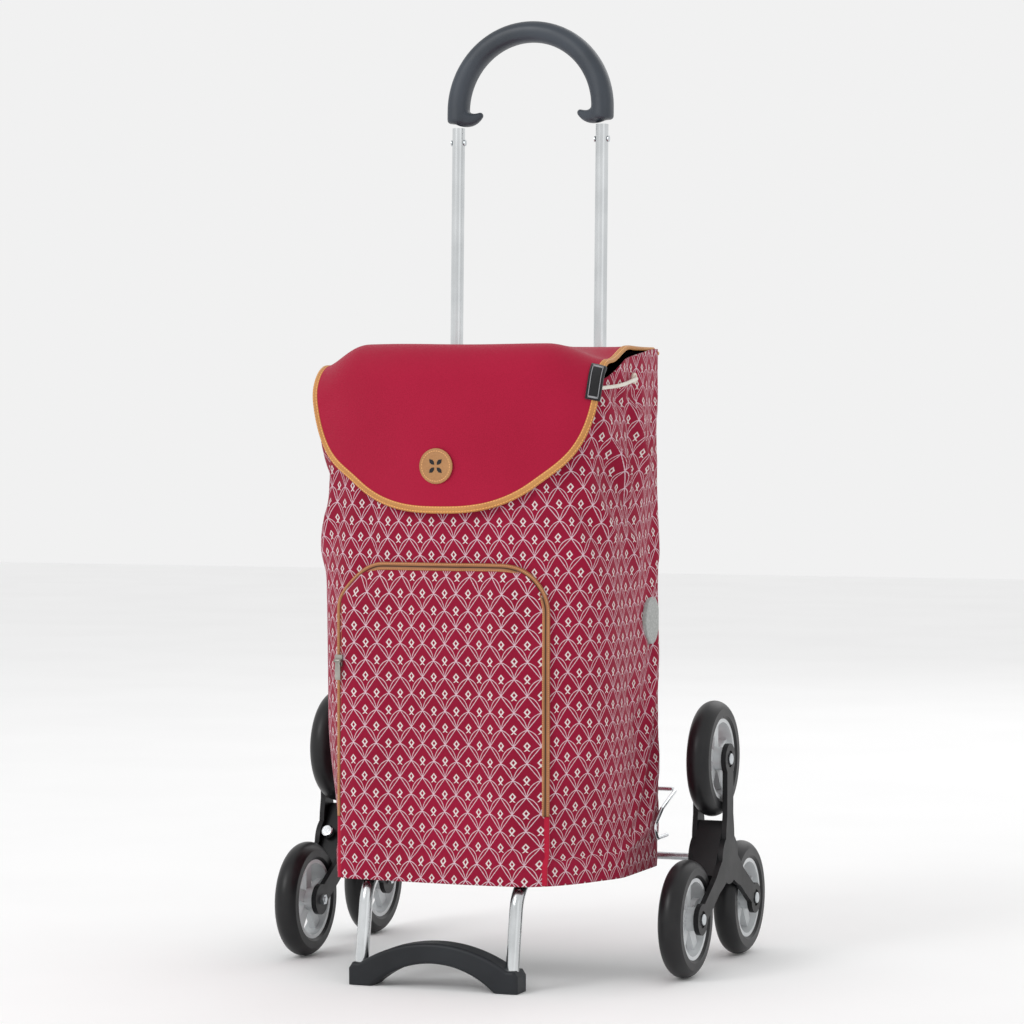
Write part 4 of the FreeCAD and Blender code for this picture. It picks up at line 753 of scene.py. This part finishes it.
def make_bag():
    columns, rows = ((181, 104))
    points, uvs = bag_points(columns, rows)
    shell = grid("bag_shell", points, uvs, flip=True)
    hang(shell, rows, columns)
    final = np.array([v.co for v in shell.data.vertices]).reshape(rows, columns, 3)
    join = (final[:, 0] + final[:, -1]) / 2
    final[:, 0] = join
    final[:, -1] = join
    shell.data.vertices.foreach_set("co", final.ravel())
    shell.data.update()
    finish_with(shell, "printed_fabric")
    shell.data.materials.append(LOOKS["lining"])
    smoother(shell)
    apply_modifiers(shell)
    return shell


bag = make_bag()
bag_tree = BVHTree.FromObject(bag, bpy.context.evaluated_depsgraph_get())


def on_front(x, z):
    """The y of the bag's front at that place, in millimetres."""
    start = Vector(place((x, -400, z)))
    hit = bag_tree.ray_cast(start, Vector((0, 1, 0)))[0]
    return (hit.y - AXLE_Y) * 1000 if hit else BAG_FRONT


def on_side(hand, y, z):
    """The x of the bag's side at that place, in millimetres."""
    start = Vector(place((hand * 400, y, z)))
    hit = bag_tree.ray_cast(start, Vector((-hand, 0, 0)))[0]
    return hit.x * 1000 if hit else hand * BAG_HALF_WIDTH


# ---------------- the front pocket
def pocket_edge(count, inset=0.0):
    """Points up the pocket's left side, over its top and down its right, as (x, z) pairs."""
    half, top, corner = POCKET_HALF_WIDTH - inset, POCKET_TOP - inset, POCKET_CORNER - inset
    turn = np.linspace(0, math.pi / 2, 30)
    path = [(-half, HEM + 1)]
    path += [(-half + corner - corner * math.cos(a), top - corner + corner * math.sin(a)) for a in turn]
    path += [(half - corner + corner * math.sin(a), top - corner + corner * math.cos(a)) for a in turn]
    path.append((half, HEM + 1))
    return evenly(path, count)


def pocket_bulge(x, z):
    """How far the pocket stands forward of the bag, for its soft contents."""
    side = ease((POCKET_HALF_WIDTH - np.abs(x)) / 26)
    top = ease((POCKET_TOP - z) / 30)
    low = 0.55 + 0.45 * ease((z - HEM) / 90)
    return 1.8 + 7.2 * side * top * low + 1.1 * np.sin(x / 38 + 0.5) * np.sin(z / 47) * side * top


def zip_side(x, z, start, width):
    """1 on the pocket's left side, which stands out on a gusset where the slider runs, and 0 elsewhere."""
    return ease((-x - start) / width) * ease((GUSSET_TOP - z) / 30)


def make_pocket():
    """The pocket's panel: a mesh that fills the pocket's outline and follows the bag."""
    columns, rows = 74, 100
    spread = np.linspace(-1, 1, columns)
    heights = np.linspace(HEM + 0.5, POCKET_TOP - ZIP_WIDTH / 2, rows)
    points, uvs = np.zeros((rows, columns, 3)), np.zeros((rows, columns, 2))
    half = POCKET_HALF_WIDTH - ZIP_WIDTH / 2
    for row, z in enumerate(heights):
        drop = max(0, z - (POCKET_TOP - POCKET_CORNER))
        corner = POCKET_CORNER - ZIP_WIDTH / 2
        reach = half - corner + math.sqrt(max(corner ** 2 - drop ** 2, 0.0))
        for column, share in enumerate(spread):
            x = share * reach
            standing = zip_side(x, z, 25, 80)
            y = (1 - standing) * on_front(x, z) + standing * (ZIP_LINE + 1.5) - float(pocket_bulge(x, z))
            points[row, column] = (x, y, z)
            uvs[row, column] = (x + 6, z + 9)
    panel = grid("pocket_panel", points, uvs)
    finish_with(panel, "printed_fabric")
    smoother(panel)
    thicken(panel, 1.0, 1)
    apply_modifiers(panel)
    return panel


def edge_frames(path):
    """Centres, sides and ups for a band that lies on the bag's front along (x, z) pairs."""
    standing = zip_side(path[:, 0], path[:, 1], 50, 55)
    flat = np.array([on_front(x, z) - 3.0 for x, z in path])
    centres = np.stack([path[:, 0], (1 - standing) * flat + standing * ZIP_LINE, path[:, 1]], 1)
    ahead = unit(np.gradient(centres, axis=0))
    up = np.repeat([[0.0, -1.0, 0.0]], len(path), 0)
    up[:, 0] = np.clip((np.abs(path[:, 0]) - 85) / 90, 0, 1) * np.sign(path[:, 0]) * (1 - standing)
    up = unit(up)
    side = unit(np.cross(ahead, up))
    return centres, side, up


def make_zip():
    """The bound zip round the pocket, and the plain strips that carry on below its two ends."""
    path, _ = pocket_edge(260, ZIP_WIDTH / 2)
    left_end = np.argmax(path[:, 1] > ZIP_LEFT_END)
    right_end = len(path) - np.argmax(path[::-1, 1] > ZIP_RIGHT_END)
    half = ZIP_WIDTH / 2
    crown = [(-half, -2.8), (-half, 1.0), (-half * 0.75, 2.0), (-1.0, 2.2), (-0.6, 1.3), (0.6, 1.3),
             (1.0, 2.2), (half * 0.75, 2.0), (half, 1.0), (half, -2.8)]
    flat = [(-half, -2.8), (-half, 0.3), (-half * 0.7, 0.9), (half * 0.7, 0.9), (half, 0.3), (half, -2.8)]
    tape = sweep("pocket_zip_tape", *edge_frames(path[left_end:right_end]), crown)
    finish_with(tape, "tan_binding", "zip_tape")
    strips = []
    for hand, part in (("left", path[:left_end + 1]), ("right", path[right_end - 1:])):
        strip = sweep(f"pocket_strip_{hand}", *edge_frames(part), flat)
        strips.append(finish_with(strip, "printed_fabric", "red_tape"))
    return tape, strips


def make_gusset():
    """The strip of cloth between the bag and the zip on the pocket's left side."""
    path, run = pocket_edge(200, 0.6)
    left = path[:, 0] < -POCKET_HALF_WIDTH * 0.6
    path, run = path[left], run[left]
    standing = zip_side(path[:, 0], path[:, 1], 50, 55)
    root = np.array([on_front(x, z) + 1.5 for x, z in path])
    edge = (1 - standing) * (root - 3.5) + standing * (ZIP_LINE + 0.5)
    shares = np.linspace(0, 1, 7)[:, None]
    y = root[None] * (1 - shares) + edge[None] * shares
    tuck = np.sin(shares * math.pi) * 1.6 * standing[None]
    points = np.stack([np.repeat(path[None, :, 0], 7, 0) + tuck, y, np.repeat(path[None, :, 1], 7, 0)], -1)
    gusset = grid("pocket_gusset", points, np.stack([y, np.repeat(run[None], 7, 0)], -1), flip=True)
    finish_with(gusset, "printed_fabric")
    thicken(gusset, 1.0, 0)
    apply_modifiers(gusset)
    return gusset


pocket_panel = make_pocket()
pocket_gusset = make_gusset()
zip_tape, zip_strips = make_zip()


# ---------------- the lid
def lid_low(x):
    """The height of the lid's lower edge at x."""
    share = np.clip(np.abs(x) / LID_HALF_WIDTH, 0, 1)
    return LID_LOW + (LID_CORNER_LOW - LID_LOW) * (1 - (1 - share ** 2.6) ** 0.585)


def lid_length(x):
    """The cloth's length from the rear edge to the lower edge at x."""
    flat = LID_REAR - lid_front(x) - LID_ROUND
    return flat + LID_ROUND * math.pi / 2 + (LID_TOP - LID_ROUND - lid_low(x))


def lid_at(x, run):
    """The point and the outward direction on the lid, run millimetres from its rear edge."""
    x, run = np.broadcast_arrays(np.asarray(x, float), np.asarray(run, float))
    flat = LID_REAR - lid_front(x) - LID_ROUND
    angle = np.clip((run - flat) / LID_ROUND, 0, math.pi / 2)
    drop = np.maximum(run - flat - LID_ROUND * math.pi / 2, 0)
    y = LID_REAR - np.minimum(run, flat) - LID_ROUND * np.sin(angle)
    z = LID_TOP - LID_ROUND * (1 - np.cos(angle)) - drop
    lean = np.arcsin(np.clip(x / LID_PLAN_RADIUS, -1, 1))
    normal = np.stack([np.sin(angle) * np.sin(lean), -np.sin(angle) * np.cos(lean), np.cos(angle)], -1)
    sag = 3.2 * np.sin(np.clip(run / np.maximum(flat, 1), 0, 1) * math.pi) * np.cos(x / LID_HALF_WIDTH * 1.4)
    crown = -sag + 1.6 * np.sin(x / 34 + 0.8) * np.sin(run / 52) * ease((LID_HALF_WIDTH - np.abs(x)) / 40)
    hang_fold = (np.sin((x - 20) / 24 + run / 90) * 1.3 + np.sin((x + 30) / 13 - run / 60) * 0.5)
    crown = crown + hang_fold * ease(drop / 90) * ease((LID_HALF_WIDTH - np.abs(x)) / 60)
    side_droop = 2.5 * ease((np.abs(x) - 120) / 41) * (1 - ease((run - 40) / 120))
    left, right = ease((run - 50) / 90) * LID_LEFT_DROP, ease((run - 90) / 60) * LID_RIGHT_DROP
    corner_drop = np.where(x < 0, left, right) * ease((np.abs(x) - 98) / 63) ** 1.2
    rear_turn = LID_REAR_DROP * (1 - ease(run / 18))
    point = np.stack([x, y, z - corner_drop - rear_turn], -1) + normal * (crown - side_droop)[..., None]
    return point, normal


def lid_boundary(count):
    """(x, run) pairs from the rear right corner down, round the front and back up to the rear left."""
    corner = float(lid_length(LID_HALF_WIDTH))
    side = [(LID_HALF_WIDTH, run) for run in np.linspace(0, corner, 60)]
    share = np.linspace(0, 1, 160)[1:]
    round_x = LID_HALF_WIDTH * np.cos(share * math.pi / 2) ** 0.8
    half = np.array(side + [(x, float(lid_length(x))) for x in round_x])
    loop = np.concatenate([half, half[-2::-1] * (-1, 1)])
    points, _ = lid_at(loop[:, 0], loop[:, 1])
    run = np.concatenate([[0], np.cumsum(np.linalg.norm(np.diff(points, axis=0), axis=1))])
    wanted = np.linspace(0, run[-1], count)
    return np.stack([np.interp(wanted, run, loop[:, i]) for i in range(2)], 1)


def make_lid():
    columns, rows = 130, 150
    across = LID_HALF_WIDTH * np.sin(np.linspace(-math.pi / 2, math.pi / 2, columns))
    across = 0.5 * across + 0.5 * np.linspace(-LID_HALF_WIDTH, LID_HALF_WIDTH, columns)
    x = np.repeat(across[None], rows, 0)
    run = np.linspace(0, 1, rows)[:, None] * lid_length(across)[None]
    points, _ = lid_at(x, run)
    lid = grid("lid_cloth", points, np.stack([x, run], -1), flip=True)
    finish_with(lid, "plain_fabric")
    thicken(lid, LID_THICKNESS, -1)
    apply_modifiers(lid)
    return lid


def lid_edge_frames(boundary, inset=0.0):
    """Frames along the lid's edge: the side points inwards along the cloth, up is outwards."""
    centres, normals = lid_at(boundary[:, 0], boundary[:, 1])
    ahead = unit(np.gradient(centres, axis=0))
    inward = unit(np.cross(ahead, normals))
    middle = np.array([0, -130, 660])
    flip = np.sign(np.sum((middle - centres) * inward, axis=1))
    inward = inward * flip[:, None]
    return centres + inward * inset, inward, normals


def make_lid_binding():
    """Folded tape that binds the lid's side and lower edges, with its stitches."""
    boundary = lid_boundary(420)
    centres, inward, normals = lid_edge_frames(boundary, BINDING / 2)
    half, under = BINDING / 2, -LID_THICKNESS - 0.9
    outline = [(half, 0.2), (half - 0.6, 0.8), (0, 1.1), (-half, 1.0), (-half - 0.9, 0.1),
               (-half - 1.0, -1.1), (-half - 0.9, under + 0.9), (-half, under), (half - 0.6, under),
               (half, under + 0.5)]
    binding = sweep("lid_edge_tape", centres, inward, normals, outline)
    return finish_with(binding, "tan_binding")


def disc(name, centre, normal, radius, profile, spin=64):
    """A turned disc: profile holds (radius share, height) pairs from the middle outwards."""
    normal = np.asarray(normal, float) / np.linalg.norm(normal)
    side = unit(np.cross(normal, [0, 0, 1.0]))
    up = np.cross(side, normal)
    angles = np.linspace(0, 2 * math.pi, spin, endpoint=False)
    points, uvs = [np.asarray(centre, float) + normal * profile[0][1]], [(0, 0)]
    for share, height in profile[1:]:
        for angle in angles:
            across, rise = radius * share * math.cos(angle), radius * share * math.sin(angle)
            points.append(np.asarray(centre) + side * across + up * rise + normal * height)
            uvs.append((angle * radius, radius * share))
    faces = fan_faces(len(profile) - 1, spin)
    last = 1 + (len(profile) - 2) * spin
    faces.append(tuple(last + i for i in range(spin))[::-1])
    return new_mesh(name, np.array(points), faces, np.array(uvs))


def make_badge():
    """The round leather patch on the lid's front, with a plain embossed four-petal sign."""
    run = float(lid_length(0)) - (538 - LID_LOW)
    centre, normal = lid_at(-3, run)
    centre = centre + normal * 0.2
    profile = [(0, 1.5), (0.3, 1.5), (0.6, 1.5), (0.72, 1.45), (0.78, 1.2), (0.84, 1.45), (0.93, 1.4),
               (0.99, 1.0), (1.0, 0.3), (0.98, -0.4)]
    badge = finish_with(disc("lid_badge_patch", centre, normal, 18.5, profile, 96), "tan_leather")
    side = unit(np.cross(normal, [0, 0, 1.0]))
    up = np.cross(side, normal)
    points, faces = [], []
    for petal in range(4):
        angle = petal * math.pi / 2 + math.pi / 4
        along = side * math.cos(angle) + up * math.sin(angle)
        beside = up * math.cos(angle) - side * math.sin(angle)
        first = len(points)
        rim = [(1.6, 0), (4.2, 2.0), (7.2, 2.3), (10.2, 0), (7.2, -2.3), (4.2, -2.0)]
        for height in (1.3, 1.95):
            shrink = 1 if height < 1.5 else 0.86
            points += [centre + along * (5.9 + (a - 5.9) * shrink) + beside * b * shrink + normal * height
                       for a, b in rim]
        faces.append(tuple(first + 6 + i for i in range(6)))
        faces.append(tuple(first + i for i in range(6))[::-1])
        faces += [(first + i, first + (i + 1) % 6, first + 6 + (i + 1) % 6, first + 6 + i) for i in range(6)]
    sign = new_mesh("lid_badge_sign", np.array(points), faces, np.zeros((len(points), 2)), smooth=False)
    finish_with(sign, "tan_leather", "black_label")
    return badge, sign


def make_label():
    """The woven tab folded over the lid's right edge, with a grey stitched border."""
    boundary = lid_boundary(420)
    centres, inward, normals = lid_edge_frames(boundary)
    near = [i for i in range(len(centres)) if boundary[i, 0] > 0 and 603 < centres[i, 2] < 640
            and centres[i, 1] < -185]
    centres, inward, normals = centres[near], inward[near], normals[near]
    outline = [(13.5, 1.4), (13.5, 2.2), (6, 2.5), (-1.6, 2.3), (-2.8, 0.4), (-2.6, -2.6), (-1.4, -3.9),
               (13.5, -3.9), (13.5, -3.2), (0.2, -3.0), (0.2, 1.3)]
    label = finish_with(sweep("lid_label", centres, inward, normals, outline), "black_label")
    bars = [("front", slice(1, -1), 10.6, 11.4), ("edge", slice(1, -1), 0.2, 1.0),
            ("low", slice(1, 3), 0.2, 11.4), ("high", slice(-3, -1), 0.2, 11.4)]
    border = []
    for name, part, start, stop in bars:
        rail = [(start, 2.1), (stop, 2.1), (stop, 2.75), (start, 2.75)]
        bar = sweep(f"label_thread_{name}", centres[part], inward[part], normals[part], rail)
        border.append(finish_with(bar, "black_label", "label_thread"))
    return label, border


lid_cloth = make_lid()
lid_tape = make_lid_binding()
lid_patch, lid_sign = make_badge()
lid_label, label_threads = make_label()


# ---------------- the grip
GRIP_SECTION = 23.5
GRIP_DEPTH = 27
GRIP_HEIGHT = 113
AXLE_Z = 115.5
LEAN = math.radians(1.5)


def make_grip():
    """The arched grip with its two inward horns, melted into one smooth moulding."""
    low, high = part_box("grip")
    outer = (high[0] - low[0]) * 500
    bottom = high[2] * 1000 - GRIP_HEIGHT
    radius = outer - GRIP_SECTION / 2
    centre = high[2] * 1000 - outer
    turn = np.linspace(0, math.pi, 90)
    legs = np.linspace(bottom + 3, centre, 12)[:-1]
    path = [(-radius, z) for z in legs]
    path += [(-radius * math.cos(a), centre + radius * math.sin(a)) for a in turn]
    path += [(radius, z) for z in legs[::-1]]
    parts = [grip_run("grip_arch", path, np.full(len(path), 1.0))]
    for hand in (1, -1):
        share = np.linspace(0, 1, 26)
        bend = [(hand * (radius - 1 - 27.5 * s),
                 bottom + 11.5 - 5.5 * math.sin(s * math.pi * 0.85) + 4.5 * s ** 2) for s in share]
        parts.append(grip_run(f"grip_horn_{hand}", bend, 0.86 - 0.62 * share ** 1.5))
    bpy.context.view_layer.update()
    for part in parts[1:]:
        joined = parts[0].modifiers.new("join", "BOOLEAN")
        joined.operation = "UNION"
        joined.solver = "EXACT"
        joined.object = part
    apply_modifiers(parts[0])
    for part in parts[1:]:
        bpy.data.objects.remove(part)
    melt = parts[0].modifiers.new("melt", "REMESH")
    melt.mode = "VOXEL"
    melt.voxel_size = 0.0013
    melt.use_smooth_shade = True
    soften = parts[0].modifiers.new("soften", "SMOOTH")
    soften.factor = 0.5
    soften.iterations = 14
    apply_modifiers(parts[0])
    parts[0].data.polygons.foreach_set("use_smooth", [True] * len(parts[0].data.polygons))
    return finish_with(parts[0], "grip_plastic")


def grip_run(name, path, scale):
    """An oval bar along (x, z) points in the leaning plane of the uprights."""
    centres = np.array([(x, (z - AXLE_Z) * math.tan(LEAN), z) for x, z in path])
    ahead = unit(np.gradient(centres, axis=0))
    deep = np.repeat([[0.0, 1.0, 0.0]], len(path), 0)
    side = unit(np.cross(deep, ahead))
    angles = np.linspace(0, 2 * math.pi, 33)[:-1]
    power = 0.82
    rim = np.stack([np.sign(np.cos(angles)) * np.abs(np.cos(angles)) ** power * GRIP_SECTION / 2,
                    np.sign(np.sin(angles)) * np.abs(np.sin(angles)) ** power * GRIP_DEPTH / 2], 1)
    sizes = np.asarray(scale, float)[:, None]
    ends = np.ones((len(path), 1))
    ends[0], ends[1] = 0.8, 0.95
    ends[-1], ends[-2] = 0.8, 0.95
    scaled = side * sizes * ends
    return sweep(name, centres, scaled, deep * sizes * ends, rim)


grip = make_grip()


# ---------------- eyelets and reflectors
def make_eyelet(hand):
    """A rolled ring set in the bag's side."""
    x = abs(on_side(hand, EYELET_Y, EYELET_Z))
    angles = np.linspace(0, 2 * math.pi, 49)[:-1]
    outline = [(-1.3, -1.6), (-1.3, 1.5), (-0.8, 2.4), (0, 2.8), (0.8, 2.4), (1.3, 1.5), (1.3, -1.6)]
    around = np.stack([np.zeros_like(angles), np.cos(angles), np.sin(angles)], -1)
    centres = np.array([hand * x, EYELET_Y, EYELET_Z]) + around * 4.6
    out = np.repeat([[float(hand), 0, 0]], len(angles), 0)
    name = "eyelet_right" if hand > 0 else "eyelet_left"
    return finish_with(sweep(name, centres, around * hand, out, outline, closed=True), "cream_eyelet")


def make_reflector(hand):
    """A round reflective patch that lies flat on the bag's side."""
    spots = np.array([(1, REFLECTOR_Y + dy, REFLECTOR_Z + dz)
                      for dy in (-22, -11, 0, 9, 17) for dz in (-22, -11, 0, 11, 22)])
    out = np.array([abs(on_side(hand, y, z)) for _, y, z in spots])
    tilt = np.linalg.lstsq(spots, out, rcond=None)[0]
    lift = max(out - spots @ tilt)
    rings = [(0.25, 1.2), (0.5, 1.2), (0.75, 1.2), (0.95, 1.2), (0.99, 0.9), (1.0, -3.0)]
    angles = np.linspace(0, 2 * math.pi, 73)[:-1]
    points = [(0, REFLECTOR_Y, REFLECTOR_Z, 1.2)]
    for share, height in rings:
        for angle in angles:
            y = min(REFLECTOR_Y + REFLECTOR_RADIUS * share * math.cos(angle), BAG_BACK - 8)
            points.append((0, y, REFLECTOR_Z + REFLECTOR_RADIUS * share * math.sin(angle), height))
    points = np.array(points)
    plane = tilt[0] + points[:, 1] * tilt[1] + points[:, 2] * tilt[2]
    points[:, 0] = hand * (plane + lift * 0.6 + points[:, 3])
    faces = [face if hand > 0 else face[::-1] for face in fan_faces(len(rings), len(angles))]
    name = "reflector_right" if hand > 0 else "reflector_left"
    return finish_with(new_mesh(name, points[:, :3], faces, points[:, 1:3]), "reflector_grey")


def make_bag_floor():
    """The bag's own bottom: a stiffened cloth sheet over the base board, inside the walls."""
    points, _ = bag_points(91, 56)
    level = np.argmin(np.abs(points[:, 0, 2] - BAG_FLOOR))
    plan = points[level, :-1, :2]
    middle = np.array([0, -122])
    shares = (0.965, 0.8, 0.5, 0.2)
    rings = [[(*(middle + (spot - middle) * share), BAG_FLOOR - 1.2 * (share < 0.9)) for spot in plan]
             for share in shares]
    spots = np.array(rings).reshape(-1, 3)
    faces = grid_faces(len(shares), len(plan), wrap=True)
    faces.append(tuple((len(shares) - 1) * len(plan) + i for i in range(len(plan))))
    floor_sheet = new_mesh("bag_floor", spots, faces, spots[:, :2])
    finish_with(floor_sheet, "base_board", "black_label")
    thicken(floor_sheet, 3.4, 0)
    apply_modifiers(floor_sheet)
    return floor_sheet


bag_floor = make_bag_floor()
eyelet_rings = [make_eyelet(hand) for hand in (1, -1)]
reflector_patches = [make_reflector(hand) for hand in (1, -1)]

# the bag's cloth gets its thickness once everything that lies on it is in place
thicken(bag, 1.3, -1, 1)
apply_modifiers(bag)

# ---------------- what moves with what
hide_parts("bag_side_right", "bag_side_left", "bag_front_panel", "bag_back_panel")
for piece, node_name in ((bag_floor, "bag_base_board"), (pocket_panel, "front_pocket"),
                         (zip_tape, "pocket_zip"), (lid_cloth, "lid_flap"), (lid_tape, "lid_binding"),
                         (lid_patch, "lid_badge"),
                         (lid_label, "label_tab"), (drawstring, "drawstring"), (eyelet_rings[0], "eyelets"),
                         (reflector_patches[0], "reflectors"), (grip, "grip")):
    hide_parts(node_name)
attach(grip, "root")

BACK_PLANE = tuple(place((0, BAG_BACK, 300)))


def fold_with_bag(piece, body):
    """The piece rides on the body, with a mesh of its own."""
    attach(piece, body)
    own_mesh(piece)


for piece in (bag, bag_floor, pocket_panel, pocket_gusset, zip_tape, drawstring, *zip_strips, *eyelet_rings,
              *reflector_patches):
    fold_with_bag(piece, "root")
on_lid = [lid_tape, lid_patch, lid_sign, lid_label, *label_threads]
for piece in [lid_cloth] + on_lid:
    fold_with_bag(piece, "lid")


def node_copy(name, node_name, slot):
    """A new piece with the CAD node's own mesh, which it replaces."""
    piece = finish_with(add_object(name, nodes[node_name].data.copy()), slot)
    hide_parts(node_name)
    return piece


def make_spring(hand):
    """The release spring as its own piece, riding on its wheel cluster."""
    spring = node_copy(f"button_spring_{hand}", f"release_spring_{hand}", "spring_steel")
    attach(spring, f"cluster_{hand}")
    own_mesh(spring)


fold_with_bag(node_copy("slider_body", "zip_slider", "zip_metal"), "slider")
fold_with_bag(node_copy("slider_tab", "zip_pull", "zip_metal"), "pull")
make_spring("right")
make_spring("left")


# ---------------- studio
def make_floor():
    half = 9.0
    mesh = bpy.data.meshes.new("floor")
    corners = [(-half, -half, 0), (half, -half, 0), (half, half, 0), (-half, half, 0)]
    mesh.from_pydata(corners, [], [(0, 1, 2, 3)])
    floor = add_object("floor", mesh)
    floor.location.z = -0.0005
    look = Look("floor", 0.9)
    tone = look.noise(3, 2)
    look.link(look.ramp(tone, (0.3, (0.93, 0.93, 0.93)), (0.7, (0.95, 0.95, 0.95))), "Base Color")
    floor.data.materials.append(look.material)


def make_light(name, spot, size, power):
    data = bpy.data.lights.new(name, "AREA")
    data.shape = "SQUARE"
    data.size = size
    data.energy = power
    light = add_object(name, data)
    light.location = spot
    light.rotation_euler = (Vector((0, 0, 0.5)) - Vector(spot)).to_track_quat("-Z", "Y").to_euler()


def make_world():
    world = bpy.data.worlds.new("studio")
    world.use_nodes = True
    background = world.node_tree.nodes["Background"]
    background.inputs["Color"].default_value = (1, 1, 1, 1)
    background.inputs["Strength"].default_value = 0.88
    bpy.context.scene.world = world
    bpy.context.scene.view_settings.view_transform = "Standard"


make_floor()
make_world()
make_light("key", (-1.6, -3.4, 2.8), 1.4, 46)
make_light("fill", (3.4, -2.6, 1.5), 2.2, 4)
make_light("rear", (0.6, 3.2, 2.6), 2.4, 18)
